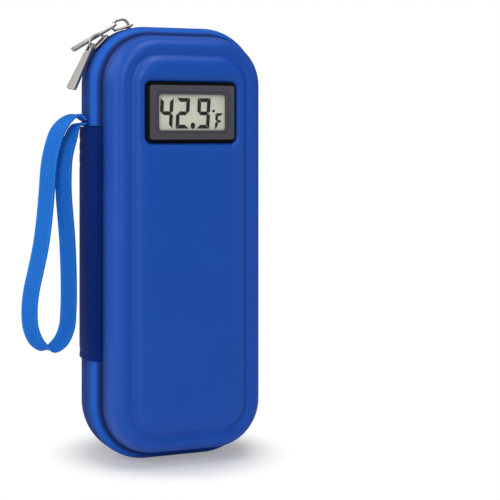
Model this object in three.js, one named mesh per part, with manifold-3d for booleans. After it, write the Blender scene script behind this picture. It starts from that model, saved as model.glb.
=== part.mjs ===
// A hard-shell cooling case for insulin pens, closed and standing on its end.
// Millimetres, +Z up, the display faces -Y. The origin is the middle of the rear half's flat foot.
// Each half is drawn flat, as it lies on a bench with its opening down: x across, y up the case,
// and z, called depth here, outward from the plane where the two halves meet.

import * as THREE from "three";
import { mergeVertices } from "three/addons/utils/BufferGeometryUtils.js";
import Module from "manifold-3d";

const wasm = await Module();
wasm.setup();

// Clearances that the whole case shares

const GAP = 0.3; // between pieces that touch
const OVERRUN = 20; // how far a cutter runs past what it cuts

// Outline of the case, along the seam between shell and zip band

const SEAM_WIDTH = 86.8;
const SEAM_HEIGHT = 222.4;
const SEAM_RADIUS = 26.2;
const CORNER_STEPS = 7; // faces to a round corner

// Zip band: two tapes that bulge out past the seam

const BAND_CREST = 5.7; // how far the tapes stand out past the seam
const BAND_HALF = 12.1; // one tape, from the slit to the seam
const BAND_FLAT = 5.0; // flat middle of one tape, which is also the foot
const TAPE = 1.1;
const SLIT_HALF = 0.6;
const COIL_WIDTH = 2.2;
const COIL_HEIGHT = 1.3;
const SLIDER_RUN = 12; // how far the sliders ride past the top's middle

// Shells

const SHELL_DEPTH = 21; // from the seam to the face
const SHELL_WALL = 4;
const SHOULDER = 12.9; // width of the shoulder round the raised face
const FACE_CORNER = 2.2; // corner radius of the flat middle of the face
const RIM = 1.1; // the rim's step below the seam, hidden by the tape
const LINING = 0.8;

// Rim binding

const BINDING_TOP = 1.0; // its face, measured from the meeting plane
const BINDING_INSET = 4.4; // its inner edge, measured from the seam
const BINDING_STEP = 3.2; // the channel beside it for coil and slider
const LIP_CLEAR = 0.4; // between its lip and the sliders' inner plates

// Spine

const SPINE_LOW = 55;
const SPINE_DROP = 48.5; // from the seam's top to the spine's upper end
const SPINE_COVER = 1.2;
const SPINE_PROUD = 1.5; // how far the cover stands out past the tapes
const GUSSET = 0.8;
const GUSSET_HALF = 2.4;

// Display unit

const BEZEL_WIDTH = 48;
const BEZEL_HEIGHT = 28.6;
const BEZEL_RADIUS = 3;
const BEZEL_PLATE = 1.6;
const BEZEL_PROUD = 0.3; // how far the bezel lies below the shell's face
const BEZEL_FRAME = 4.9; // from its edge to the window
const UNIT_DROP = 41.1; // from the seam's top to the display's middle
const SLEEVE_STEP = 1.2; // from the bezel's edge in to the sleeve
const SLEEVE_WALL = 1.2;
const WINDOW_RADIUS = 1.5;
const LENS = 1.0;
const LENS_SUNK = 0.6;
const RECESS_GAP = 2; // between bezel and shell
const GASKET = 3.6;
const ROLL_REACH = 5; // the rolled edge round the recess
const ROLL_DEPTH = 3;
const PANEL = 1.7; // liquid-crystal panel
const STRIP_WIDTH = 36;
const STRIP_THICK = 1.4;
const STRIP_TALL = 2;
const BOARD = 1.0;
const CELL_DIAMETER = 11.6;
const CELL_HEIGHT = 5.4;
const CONTACT = 0.4;
const CONTACT_SIDE = 8;
const COVER = 1.2;
const DOOR_SIDE = 9.3; // from the unit's side to the battery door
const DOOR_HEIGHT = 14;
const BUTTON_DIAMETER = 4.2;
const BUTTON_STEM = 2.2;
const BUTTON_PROUD = 1.0;
const BUTTON_TRAVEL = 0.5;
const SENSOR_DIAMETER = 2.4;

// Patch behind the display unit

const PATCH_SIDE = 4.7; // how far it reaches past the unit
const PATCH_ENDS = 7.9;
const PATCH_RADIUS = 7;
const PATCH_CLOTH = 0.8;
const PATCH_HOLE = 6.4;

// Pockets, straps and packs

const PACK_SIDE = 7.9; // from the seam in to the pack
const PACK_HEADROOM = 42.4; // by how much it is lower than the seam's outline
const PACK_SPARE = 0.7; // left free between the pack and the display's patch
const PACK_TOP_STEP = 1.5; // flat left beside its round top
const PACK_FOOT_STEP = 6.2; // by how much its corners are rounder than the seam's
const MESH = 0.8;
const MESH_DROP = 75.1; // from the seam's top
const BAND_THICK = 0.7;
const POCKET_BAND = 8.6; // height of the two elastic bands of the mesh pocket
const UPPER_BAND_DROP = 3; // from the mesh's upper edge
const LOWER_BAND_DROP = 52;
const STRAP_HEIGHT = 20; // wide elastic strap that holds the pens
const STRAP_RISE = 81.9; // from the seam's foot
const STRAP_THICK = 1.0;
const STRAP_DEPTH = 2.4;
const POUCH_WIDTH = 34;
const POUCH_DROP = 78.1; // from the seam's top
const POUCH_RISE = 10.3; // from the seam's foot
const POUCH_DEPTH = 7.0;
const POUCH_WALL = 0.8;
const POUCH_FLARE = 11; // how far its hem reaches past it on each side
const POUCH_FLARE_HEIGHT = 5;
const TRIM_HEIGHT = 9;

// Wrist strap

const WEB_WIDTH = 9;
const WEB_THICK = 1.1;
const WEB_REACH = 28.4; // how far the loop stands away from the spine
const WEB_DROP = 119; // how far it hangs below its root
const WEB_RISE = 6.2; // how far it rises above its root
const WEB_TWIST = THREE.MathUtils.degToRad(35);
const WEB_STEPS = 56;

// Zip sliders and pulls

const PLATE_STEP = 0.7; // by how much the plate ends before the loop
const PLATE_WIDE = 8;
const PLATE_THICK = 1.2;
const PLATE_CLEAR = 0.5; // between plate and tape
const INNER_LONG = 9;
const INNER_WIDE = 5;
const INNER_THICK = 0.8;
const INNER_CLEAR = 0.9; // between inner plate and coil
const POST_LONG = 3;
const POST_THICK = 0.6;
const BAIL_LOW = 6.2; // the loop's reach towards its pull
const BAIL_HIGH = 3.8; // and away from it
const BAIL_TALL = 4.6;
const BAIL_WIRE = 1.1;
const BAIL_THICK = 1.2;
const BAIL_ROUND = 2.4;
const EYE_INNER = 1.9; // half width inside the pull's eye
const EYE_WALL = 0.9;
const EYE_LONG = 4.6;
const EYE_BAR = 1.1;
const PULL_LONG = 27;
const PULL_WIDE = 7.6;
const PULL_THICK = 1.6;
const LEFT_SLIDER = THREE.MathUtils.degToRad(45); // places on the corner, measured from its top
const RIGHT_SLIDER = THREE.MathUtils.degToRad(18);
const LEFT_PULL = THREE.MathUtils.degToRad(26); // measured from straight down
const RIGHT_PULL = THREE.MathUtils.degToRad(60);
const RIGHT_PULL_YAW = THREE.MathUtils.degToRad(30);
const RIGHT_PULL_SHIFT = 0.45; // its eye lies against one side of the loop

// Worked-out places

const FOOT_MIDDLE = (SLIT_HALF + BAND_FLAT) / 2;
const SEAM_MIDDLE = BAND_CREST + SEAM_HEIGHT / 2; // height of the case's middle
const FACE = BAND_HALF + SHELL_DEPTH; // depth of the face
const FACE_REACH = SEAM_RADIUS - FACE_CORNER; // where the face is flat
const FLOOR = FACE - SHELL_WALL; // inner side of the face
const LINING_FLOOR = FACE - SHELL_DEPTH * 0.35;
const CAVITY = LINING_FLOOR - LINING; // depth free for packs and pens
const CORNER_X = SEAM_WIDTH / 2 - SEAM_RADIUS;
const CORNER_Z = SEAM_MIDDLE + SEAM_HEIGHT / 2 - SEAM_RADIUS;
const seamTop = SEAM_HEIGHT / 2; // measured, as all heights of a half, from its middle
const spineTop = seamTop - SPINE_DROP;
const spineFoot = SPINE_LOW - SEAM_MIDDLE;
const unitHigh = seamTop - UNIT_DROP;

// Materials

const finish = (color, roughness, metalness = 0) =>
  new THREE.MeshStandardMaterial({ color, roughness, metalness });

const shellBlue = () => finish(0x1c4fa8, 0.42);
const tapeBlue = () => finish(0x1e66c8, 0.7);
const coverBlue = () => finish(0x06245e, 0.6);
const webBlue = () => finish(0x1769c4, 0.8);
const packBlue = () => finish(0x1668e0, 0.35);
const blackCloth = () => finish(0x26262a, 0.9);
const blackMesh = () => finish(0x1a2a55, 0.9);
const foil = () => finish(0xd6d8dc, 0.3, 0.7);
const foam = () => finish(0xe8e8e6, 0.9);
const nickel = () => finish(0xc9c4ba, 0.25, 1);
const blackPlastic = () => finish(0x1d1f24, 0.4);
const lensClear = () => finish(0xc4cbb8, 0.1);
const crystal = () => finish(0xb9c2ab, 0.5);
const boardGreen = () => finish(0x1f6a3a, 0.6);
const steel = () => finish(0xb8bcc0, 0.3, 1);
const rubberGrey = () => finish(0x55585c, 0.9);

// Solids from geometry, and back

function solid(geometry) {
  const bare = geometry.clone();
  bare.deleteAttribute("normal");
  bare.deleteAttribute("uv");
  const merged = mergeVertices(bare, GAP / 1000);
  const corners = new Uint32Array(merged.index.array);
  const vertProperties = merged.attributes.position.array;
  const made = new wasm.Manifold(new wasm.Mesh({ numProp: 3, vertProperties, triVerts: corners }));
  if (made.volume() >= 0) return made;
  const triVerts = corners.slice().reverse();
  return new wasm.Manifold(new wasm.Mesh({ numProp: 3, vertProperties, triVerts }));
}

function meshOf(name, shape, material) {
  const { vertProperties, triVerts } = shape.getMesh();
  const geometry = new THREE.BufferGeometry();
  geometry.setAttribute("position", new THREE.BufferAttribute(vertProperties, 3));
  geometry.setIndex(new THREE.BufferAttribute(triVerts, 1));
  geometry.computeVertexNormals();
  const mesh = new THREE.Mesh(geometry, material);
  mesh.name = name;
  return mesh;
}

function box(width, height, from, to, x = 0, y = 0) {
  const geometry = new THREE.BoxGeometry(width, height, to - from);
  return solid(geometry.translate(x, y, (from + to) / 2));
}

function disc(diameter, from, to, x = 0, y = 0, sides = 24) {
  const geometry = new THREE.CylinderGeometry(diameter / 2, diameter / 2, to - from, sides);
  return solid(geometry.rotateX(Math.PI / 2).translate(x, y, (from + to) / 2));
}

function roundedShape(width, height, topRadius, footRadius = topRadius) {
  const x = width / 2;
  const y = height / 2;
  const shape = new THREE.Shape();
  shape.moveTo(-x + footRadius, -y);
  shape.lineTo(x - footRadius, -y);
  shape.absarc(x - footRadius, -y + footRadius, footRadius, -Math.PI / 2, 0);
  shape.lineTo(x, y - topRadius);
  shape.absarc(x - topRadius, y - topRadius, topRadius, 0, Math.PI / 2);
  shape.lineTo(-x + topRadius, y);
  shape.absarc(-x + topRadius, y - topRadius, topRadius, Math.PI / 2, Math.PI);
  shape.lineTo(-x, -y + footRadius);
  shape.absarc(-x + footRadius, -y + footRadius, footRadius, Math.PI, Math.PI * 1.5);
  return shape;
}

function slab(shape, from, to, y = 0, curveSegments = 6) {
  const options = { depth: to - from, bevelEnabled: false, curveSegments };
  return solid(new THREE.ExtrudeGeometry(shape, options).translate(0, y, from));
}

const plate = (width, height, radius, from, to, y = 0) =>
  slab(roundedShape(width, height, radius), from, to, y);

// A plate with the case's own outline, drawn in by an inset

const casePlate = (inset, from, to) =>
  slab(
    roundedShape(SEAM_WIDTH - 2 * inset, SEAM_HEIGHT - 2 * inset, SEAM_RADIUS - inset),
    from, to, 0, CORNER_STEPS,
  );

// A closed profile carried round a rectangle with round corners. It is turned on a lathe, and each
// quarter of the turned ring is moved out to its own corner. A profile lists [inset, depth].

function carried(profile, width, height, radius) {
  const closed = [...profile, profile[0]];
  const points = closed.map(([inset, depth]) => new THREE.Vector2(radius - inset, depth));
  const perCorner = CORNER_STEPS + 1;
  const geometry = new THREE.LatheGeometry(points, 4 * perCorner);
  const position = geometry.attributes.position;
  for (let column = 0; column <= 4 * perCorner; column++) {
    const quarter = Math.floor(column / perCorner) % 4;
    const turn = ((quarter + (column % perCorner) / CORNER_STEPS) * Math.PI) / 2;
    const cornerX = (quarter === 0 || quarter === 3 ? 1 : -1) * (width / 2 - radius);
    const cornerY = (quarter < 2 ? 1 : -1) * (height / 2 - radius);
    points.forEach((point, row) => {
      position.setXYZ(
        column * points.length + row,
        cornerX + point.x * Math.cos(turn),
        cornerY + point.x * Math.sin(turn),
        point.y,
      );
    });
  }
  return solid(geometry);
}

const ringAround = (profile) => carried(profile, SEAM_WIDTH, SEAM_HEIGHT, SEAM_RADIUS);

// Profiles of a half. Shares follow the named sizes beside them.

const tapeOuterShares = [[0.42, 0.93], [0.77, 0.78], [0.95, 0.6]];
const tapeProfile = [
  [0.2 * TAPE, BAND_HALF],
  ...tapeOuterShares.map(([out, depth]) => [-out * BAND_CREST, depth * BAND_HALF]),
  [-BAND_CREST, BAND_FLAT],
  [-BAND_CREST, SLIT_HALF],
  [TAPE - BAND_CREST, SLIT_HALF],
  [TAPE - BAND_CREST, BAND_FLAT],
  ...tapeOuterShares
    .map(([out, depth]) => [TAPE * 0.8 - out * BAND_CREST, depth * BAND_HALF - TAPE * 0.7])
    .reverse(),
  [0.2 * TAPE, BAND_HALF - TAPE],
];

const coilOut = BAND_CREST - TAPE - GAP;
const coilProfile = (from) => [
  [-coilOut, from],
  [-coilOut, SLIT_HALF + COIL_WIDTH],
  [COIL_HEIGHT - coilOut, SLIT_HALF + COIL_WIDTH],
  [COIL_HEIGHT - coilOut, from],
];

const bindingOut = coilOut - GAP;
const bindingLip = coilOut - COIL_HEIGHT - INNER_CLEAR - INNER_THICK - LIP_CLEAR;
const bindingFoot = BAND_HALF - RIM - GAP;
const bindingProfile = [
  [-bindingLip, BINDING_TOP],
  [-bindingLip, BINDING_STEP],
  [-bindingOut, BINDING_STEP],
  [-bindingOut * 0.95, BAND_FLAT],
  [-bindingOut * 0.69, BAND_HALF * 0.64],
  [-bindingOut * 0.36, BAND_HALF * 0.79],
  [GAP, bindingFoot],
  [BINDING_INSET, bindingFoot],
  [BINDING_INSET, 2 * BINDING_TOP],
  [BINDING_INSET - BINDING_TOP, BINDING_TOP],
];

// Shoulder of a shell: shares of the shoulder's width and of the shell's depth past the seam
const shoulderShares = [
  [-0.035, 0.07], [-0.05, 0.16], [0.045, 0.43], [0.124, 0.635], [0.233, 0.758], [0.388, 0.834],
  [0.55, 0.858], [0.68, 0.84], [0.79, 0.82], [0.885, 0.845], [1, 0.905], [1.132, 0.953],
  [1.357, 0.986],
];
const shellInside = SHELL_WALL + GAP;
const shellProfile = [
  [GAP + 0.3 * TAPE, BAND_HALF - RIM],
  [GAP + 0.3 * TAPE, BAND_HALF + GAP],
  ...shoulderShares.map(([across, out]) => [across * SHOULDER, BAND_HALF + out * SHELL_DEPTH]),
  [FACE_REACH, FACE],
  [FACE_REACH, FLOOR],
  [SHOULDER + SHELL_WALL * 0.6, FLOOR - GAP],
  [SHOULDER - SHELL_WALL * 0.1, LINING_FLOOR + GAP],
  [shellInside + SHELL_WALL, LINING_FLOOR - GAP],
  [shellInside + SHELL_WALL * 0.4, LINING_FLOOR - SHELL_WALL],
  [shellInside + GAP, BAND_HALF - RIM],
];

const liningOut = shellInside + 2 * GAP;
const liningProfile = [
  [liningOut, BAND_HALF - RIM],
  [liningOut + SHELL_WALL * 0.4, LINING_FLOOR - SHELL_WALL],
  [liningOut + SHELL_WALL, LINING_FLOOR - 2 * GAP],
  [SHOULDER, LINING_FLOOR],
  [FACE_REACH, LINING_FLOOR],
  [FACE_REACH, CAVITY],
  [SHOULDER + GAP, CAVITY],
  [liningOut + SHELL_WALL + LINING, CAVITY - 2 * GAP],
  [liningOut + SHELL_WALL * 0.4 + LINING, LINING_FLOOR - SHELL_WALL - GAP],
  [liningOut + LINING, BAND_HALF - RIM],
];

// Spine cover and gusset reach over both halves
const spineOuterShares = [[0, 1], [0.42, 0.93], [0.82, 0.76], [0.96, 0.42]];
const spineInnerShares = [[-0.03, 0.91], [0.33, 0.84], [0.67, 0.68], [0.8, 0.4]];
const spineCrest = BAND_CREST + SPINE_PROUD;
const spinePoint = ([out, depth]) => [-out * spineCrest, depth * BAND_HALF];
const spineOuter = spineOuterShares.map(spinePoint);
const spineInner = spineInnerShares.map(spinePoint);
const mirrored = (points) => points.map(([inset, depth]) => [inset, -depth]);
const spineProfile = [
  ...spineOuter,
  [-spineCrest, 0],
  ...mirrored(spineOuter).reverse(),
  ...mirrored(spineInner),
  [SPINE_COVER - spineCrest, 0],
  ...spineInner.slice().reverse(),
];

const gussetProfile = [
  [-bindingOut, GUSSET_HALF],
  [GUSSET - bindingOut, GUSSET_HALF],
  [GUSSET - bindingOut, -GUSSET_HALF],
  [-bindingOut, -GUSSET_HALF],
];

// The stretch of the left side that the spine takes. A half's left side is at x times side.

const spineWindow = (side, spare) =>
  box(
    OVERRUN, spineTop - spineFoot + 2 * spare, -OVERRUN, OVERRUN,
    (side * (SEAM_WIDTH + OVERRUN)) / 2 - side * BINDING_INSET, (spineTop + spineFoot) / 2,
  );

// Pieces that both halves have

function shell() {
  return ringAround(shellProfile).add(casePlate(FACE_REACH - SHELL_WALL / 8, FLOOR, FACE));
}

function lining() {
  return ringAround(liningProfile).add(
    casePlate(FACE_REACH - LINING, CAVITY, LINING_FLOOR),
  );
}

const insulation = () =>
  casePlate(SHOULDER + SHELL_WALL * 0.6 + 2 * GAP, LINING_FLOOR + GAP, FLOOR - 2 * GAP);

const zipTape = (side) => ringAround(tapeProfile).subtract(spineWindow(side, GAP));

// The coils mesh all round but where the sliders ride, from the spine to the top's middle

function zipCoil(side) {
  const span = SEAM_WIDTH + OVERRUN;
  const rides = box(
    span, SEAM_HEIGHT, -OVERRUN, OVERRUN,
    (side * span) / 2 - side * SLIDER_RUN, SEAM_HEIGHT - SEAM_RADIUS,
  );
  const meshed = ringAround(coilProfile(GAP / 2)).subtract(rides);
  return ringAround(coilProfile(SLIT_HALF)).add(meshed).subtract(spineWindow(side, GAP));
}

const rimBinding = () => ringAround(bindingProfile);

// The stack of the display unit, from its face inwards

const bezelFace = FACE - BEZEL_PROUD;
const bezelBack = bezelFace - BEZEL_PLATE;
const lensFace = bezelFace - LENS_SUNK;
const panelFace = Math.min(lensFace - LENS, bezelBack) - GAP;
const stripFace = panelFace - PANEL - GAP;
const boardFace = stripFace - STRIP_THICK - GAP;
const boardBack = boardFace - BOARD;
const cellFace = boardBack - CONTACT - 2 * GAP;
const cellBack = cellFace - CELL_HEIGHT;
const unitBack = cellBack - CONTACT - COVER - 2 * GAP;
const sleeveWidth = BEZEL_WIDTH - 2 * SLEEVE_STEP;
const sleeveHeight = BEZEL_HEIGHT - 2 * SLEEVE_STEP;
const windowWidth = BEZEL_WIDTH - 2 * BEZEL_FRAME;
const windowHeight = BEZEL_HEIGHT - 2 * BEZEL_FRAME;
const recessWidth = BEZEL_WIDTH + 2 * RECESS_GAP;
const recessHeight = BEZEL_HEIGHT + 2 * RECESS_GAP;
const doorWidth = sleeveWidth - 2 * DOOR_SIDE;
const buttonPlace = (sleeveWidth + doorWidth) / 4; // midway between door and side
const patchFrom = unitBack - GAP - PATCH_CLOTH;
const sleeveInnerWidth = sleeveWidth - 2 * SLEEVE_WALL;
const sleeveInnerHeight = sleeveHeight - 2 * SLEEVE_WALL;
const cellPlace = (CELL_DIAMETER + 2 * GAP) / 2;
const sleeveRadius = 2 * SLEEVE_WALL;

// Gel pack: a flat bag with a high round top and a soft rim

const meshFrom = BINDING_STEP;
const bandFrom = meshFrom - GAP - BAND_THICK;
const packInFront = meshFrom + MESH + GAP;
const packThick = patchFrom - GAP - PACK_SPARE - packInFront;
const packEdge = packThick * 0.36;
const cavityFoot = liningOut + LINING + SHELL_WALL * 0.4 - seamTop;

function icePack(nearest) {
  const width = SEAM_WIDTH - 2 * PACK_SIDE;
  const height = SEAM_HEIGHT - PACK_HEADROOM;
  const shape = roundedShape(
    width - 2 * packEdge, height - 2 * packEdge,
    width / 2 - PACK_TOP_STEP - packEdge, SEAM_RADIUS - PACK_FOOT_STEP - packEdge,
  );
  const options = {
    depth: packThick - 2 * packEdge,
    bevelThickness: packEdge,
    bevelSize: packEdge,
    bevelSegments: 3,
    curveSegments: 8,
  };
  const y = cavityFoot + 4 * GAP + height / 2;
  return solid(new THREE.ExtrudeGeometry(shape, options).translate(0, y, nearest + packEdge));
}

// A band that runs from one inner side of the binding to the other

const pocketSpan = SEAM_WIDTH - 2 * (BINDING_INSET + GAP);

const pocketBand = (middle, height, from, thick) =>
  box(pocketSpan, height, from, from + thick, 0, middle);

// Front half: mesh pocket

const meshTop = seamTop - MESH_DROP;

function meshPocket() {
  const above = box(2 * SEAM_WIDTH, SEAM_HEIGHT, -OVERRUN, OVERRUN, 0, meshTop + SEAM_HEIGHT / 2);
  return casePlate(BINDING_INSET + GAP, meshFrom, meshFrom + MESH).subtract(above);
}

// Display unit

function displayHousing() {
  const bezel = plate(BEZEL_WIDTH, BEZEL_HEIGHT, BEZEL_RADIUS, bezelBack, bezelFace, unitHigh);
  const sleeveFoot = unitBack + COVER + GAP;
  return bezel
    .add(plate(sleeveWidth, sleeveHeight, sleeveRadius, sleeveFoot, bezelBack + GAP, unitHigh))
    .subtract(
      box(sleeveInnerWidth, sleeveInnerHeight, sleeveFoot - OVERRUN, bezelBack, 0, unitHigh),
    )
    .subtract(
      plate(windowWidth, windowHeight, WINDOW_RADIUS, unitBack, FACE + OVERRUN, unitHigh),
    );
}

const displayLens = () =>
  plate(
    windowWidth - 2 * GAP, windowHeight - 2 * GAP, WINDOW_RADIUS - GAP,
    lensFace - LENS, lensFace, unitHigh,
  );

const fillsSleeve = (from, to) =>
  box(sleeveInnerWidth - 2 * GAP, sleeveInnerHeight - 2 * GAP, from, to, 0, unitHigh);

const crystalPanel = () => fillsSleeve(panelFace - PANEL, panelFace);
const circuitBoard = () => fillsSleeve(boardBack, boardFace);

const conductiveStrip = () =>
  box(
    STRIP_WIDTH, STRIP_TALL, stripFace - STRIP_THICK, stripFace,
    0, unitHigh + sleeveInnerHeight / 2 - 2 * STRIP_TALL,
  );

const buttonCell = (side) =>
  disc(CELL_DIAMETER, cellBack, cellFace, side * cellPlace, unitHigh);

const cellContact = (side) =>
  box(
    CONTACT_SIDE, CONTACT_SIDE, cellFace + GAP, cellFace + GAP + CONTACT,
    side * cellPlace, unitHigh,
  );

const cellBridge = () =>
  box(
    2 * cellPlace + CONTACT_SIDE, CONTACT_SIDE, cellBack - GAP - CONTACT, cellBack - GAP,
    0, unitHigh,
  );

function backCover() {
  return plate(sleeveWidth, sleeveHeight, sleeveRadius, unitBack, unitBack + COVER, unitHigh)
    .subtract(
      box(
        doorWidth + 2 * GAP, DOOR_HEIGHT + 2 * GAP, unitBack - OVERRUN, FACE, 0, unitHigh,
      ),
    )
    .subtract(
      disc(BUTTON_DIAMETER + 2 * GAP, unitBack - OVERRUN, FACE, buttonPlace, unitHigh),
    );
}

const batteryDoor = () =>
  box(doorWidth, DOOR_HEIGHT, unitBack, unitBack + COVER, 0, unitHigh);

function unitButton() {
  const shoulder = unitBack + COVER + BUTTON_TRAVEL + GAP;
  const stemEnd = boardBack - BUTTON_TRAVEL - GAP;
  return disc(BUTTON_DIAMETER, unitBack - BUTTON_PROUD, shoulder, buttonPlace, unitHigh).add(
    disc(BUTTON_STEM, shoulder - GAP, stemEnd, buttonPlace, unitHigh),
  );
}

const temperatureSensor = () =>
  disc(
    SENSOR_DIAMETER, boardBack - GAP - SENSOR_DIAMETER, boardBack - GAP,
    -buttonPlace, unitHigh, 12,
  );

function gasket() {
  const spare = 2 * GAP;
  const to = bezelBack - GAP;
  return plate(
    recessWidth - spare, recessHeight - spare, BEZEL_RADIUS, to - GASKET, to, unitHigh,
  ).subtract(
    plate(
      sleeveWidth + spare, sleeveHeight + spare, sleeveRadius, unitBack, FACE, unitHigh,
    ),
  );
}

// The shell's face rolls over into the recess of the display. Shares of reach and of depth

const rollShares = [[0, 1], [0.13, 0.5], [0.4, 0.2], [1, 0]];

function recess() {
  const rolled = rollShares.map(([out, down]) => [-out * ROLL_REACH, FACE - down * ROLL_DEPTH]);
  const above = FACE + ROLL_DEPTH;
  const profile = [[ROLL_DEPTH, FACE - ROLL_DEPTH], ...rolled, [-ROLL_REACH, above], [ROLL_DEPTH, above]];
  const radius = BEZEL_RADIUS + GAP;
  return plate(
    recessWidth, recessHeight, radius, LINING_FLOOR + GAP, FACE + OVERRUN, unitHigh,
  ).add(carried(profile, recessWidth, recessHeight, radius).translate([0, unitHigh, 0]));
}

const sleeveHole = () =>
  plate(
    sleeveWidth + 2 * GAP, sleeveHeight + 2 * GAP, sleeveRadius, unitBack, FACE, unitHigh,
  );

function displayPatch() {
  const width = sleeveWidth + 2 * PATCH_SIDE;
  const height = sleeveHeight + 2 * PATCH_ENDS;
  const y = unitHigh - PATCH_ENDS / 2;
  const inside = patchFrom + PATCH_CLOTH;
  return plate(width, height, PATCH_RADIUS, patchFrom, CAVITY - GAP, y)
    .subtract(
      plate(
        width - 2 * PATCH_CLOTH, height - 2 * PATCH_CLOTH, PATCH_RADIUS - PATCH_CLOTH,
        inside, FACE, y,
      ),
    )
    .subtract(disc(PATCH_HOLE, unitBack - OVERRUN, FACE, buttonPlace, unitHigh));
}

// Rear half: vial pouch, its trim and the wide elastic strap

const packInRear = CAVITY - GAP - packThick;
const pouchBack = packInRear - GAP;
const pouchFront = pouchBack - POUCH_DEPTH;
const pouchFoot = POUCH_RISE - seamTop;
const pouchTop = seamTop - POUCH_DROP;

function vialPouch() {
  const tall = pouchTop - pouchFoot;
  const inner = POUCH_WIDTH - 2 * POUCH_WALL;
  return box(POUCH_WIDTH, tall, pouchFront, pouchBack, 0, pouchFoot + tall / 2)
    .subtract(
      box(
        inner, tall, pouchFront + POUCH_WALL, pouchBack - POUCH_WALL,
        0, pouchFoot + POUCH_WALL + tall / 2,
      ),
    )
    .add(
      box(
        POUCH_WIDTH + 2 * POUCH_FLARE, POUCH_FLARE_HEIGHT, pouchBack - POUCH_WALL, pouchBack,
        0, pouchFoot + POUCH_FLARE_HEIGHT / 2,
      ),
    );
}

const pouchTrim = () =>
  box(
    POUCH_WIDTH, TRIM_HEIGHT, pouchFront - GAP - BAND_THICK, pouchFront - GAP,
    0, pouchTop - TRIM_HEIGHT / 2,
  );

// Wrist strap: a straight ribbon of webbing, bent along its loop. A point of the path holds its
// reach from the spine and its height over the root, and last the share of the full twist.

const webPathShares = [
  [0, 0.35, 0], [0.13, 0.9, 0.2], [0.36, 0.3, 0.6], [0.52, -0.06, 1], [0.65, -0.15, 1],
  [0.74, -0.42, 1], [0.88, -0.68, 1], [1, -0.875, 1], [0.9, -0.97, 1], [0.6, -1, 1],
  [0.37, -0.96, 1], [0.28, -0.875, 1], [0.24, -0.68, 1], [0.29, -0.42, 1], [0.33, -0.29, 1],
  [0.35, -0.165, 1], [0.27, -0.03, 0.6], [0.12, 0.1, 0.2], [0, 0, 0],
];

const webRootX = -(SEAM_WIDTH / 2 + BAND_CREST + 2 * GAP);
const webRootZ = SEAM_MIDDLE + spineTop + GAP + WEB_THICK / 2;

function wristStrap() {
  const places = webPathShares.map(
    ([reach, high]) =>
      new THREE.Vector3(
        webRootX - reach * WEB_REACH, 0, webRootZ + high * (high > 0 ? WEB_RISE : WEB_DROP),
      ),
  );
  const path = new THREE.CatmullRomCurve3(places, false, "centripetal");
  const twists = new THREE.CatmullRomCurve3(
    webPathShares.map(([, , twist], i) => new THREE.Vector3(i, twist, 0)),
  );
  const ribbon = new THREE.BoxGeometry(WEB_WIDTH, WEB_THICK, 1, 1, 1, WEB_STEPS);
  const position = ribbon.attributes.position;
  const side = new THREE.Vector3();
  const up = new THREE.Vector3();
  for (let i = 0; i < position.count; i++) {
    const along = Math.min(Math.max(position.getZ(i) + 0.5, 0), 1);
    const turn = WEB_TWIST * Math.min(Math.max(twists.getPoint(path.getUtoTmapping(along)).y, 0), 1);
    const tangent = path.getTangentAt(along);
    side.set(-Math.sin(turn), Math.cos(turn), 0);
    side.addScaledVector(tangent, -side.dot(tangent)).normalize();
    up.crossVectors(tangent, side);
    const at = path.getPointAt(along);
    at.addScaledVector(side, position.getX(i)).addScaledVector(up, position.getY(i));
    position.setXYZ(i, at.x, at.y, at.z);
  }
  return solid(ribbon);
}

// Zip slider, drawn at the top of the corner's arc: x along the tape, y across it, z outward from
// the tape's crest. Its loop reaches further towards the side where the pull hangs.

const bailMiddle = (BAIL_HIGH - BAIL_LOW) / 2;
const bailLong = BAIL_HIGH + BAIL_LOW;
const plateTop = PLATE_CLEAR + PLATE_THICK;
const plateLong = 2 * (BAIL_LOW - PLATE_STEP);

function arch(long, tall, radius, thick) {
  const options = { depth: thick, bevelEnabled: false, curveSegments: 4 };
  const whole = new THREE.ExtrudeGeometry(roundedShape(long, 2 * tall, radius), options);
  const lower = box(2 * long, 2 * tall, -OVERRUN, OVERRUN, 0, -GAP - tall);
  return solid(whole.translate(0, 0, -thick / 2)).subtract(lower);
}

function bailLoop() {
  const opening = arch(
    bailLong - 2 * BAIL_WIRE, BAIL_TALL - BAIL_WIRE, BAIL_ROUND - BAIL_WIRE, 2 * BAIL_THICK,
  );
  return arch(bailLong, BAIL_TALL, BAIL_ROUND, BAIL_THICK)
    .subtract(opening)
    .rotate([90, 0, 0])
    .translate([bailMiddle, 0, plateTop]);
}

function zipSlider() {
  const plateShape = roundedShape(plateLong, PLATE_WIDE, PLATE_WIDE / 3);
  const coilFloor = -(TAPE + GAP + COIL_HEIGHT);
  const innerTop = coilFloor - INNER_CLEAR;
  const postFrom = plateLong / 2 - POST_LONG - PLATE_THICK;
  return slab(plateShape, PLATE_CLEAR, plateTop)
    .add(box(INNER_LONG, INNER_WIDE, innerTop - INNER_THICK, innerTop))
    .add(box(POST_LONG, POST_THICK, innerTop - GAP, plateTop - GAP, postFrom))
    .add(bailLoop());
}

// Pull, drawn hanging from its eye: z up, y across, x through its thickness

const eyeOuter = EYE_INNER + EYE_WALL;
const pivotLow = BAIL_WIRE + EYE_BAR * 0.8 - BAIL_LOW;
const leftPullShare = 0.51; // height of its eye in the loop's opening
const rightPullShare = 0.7;

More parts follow.
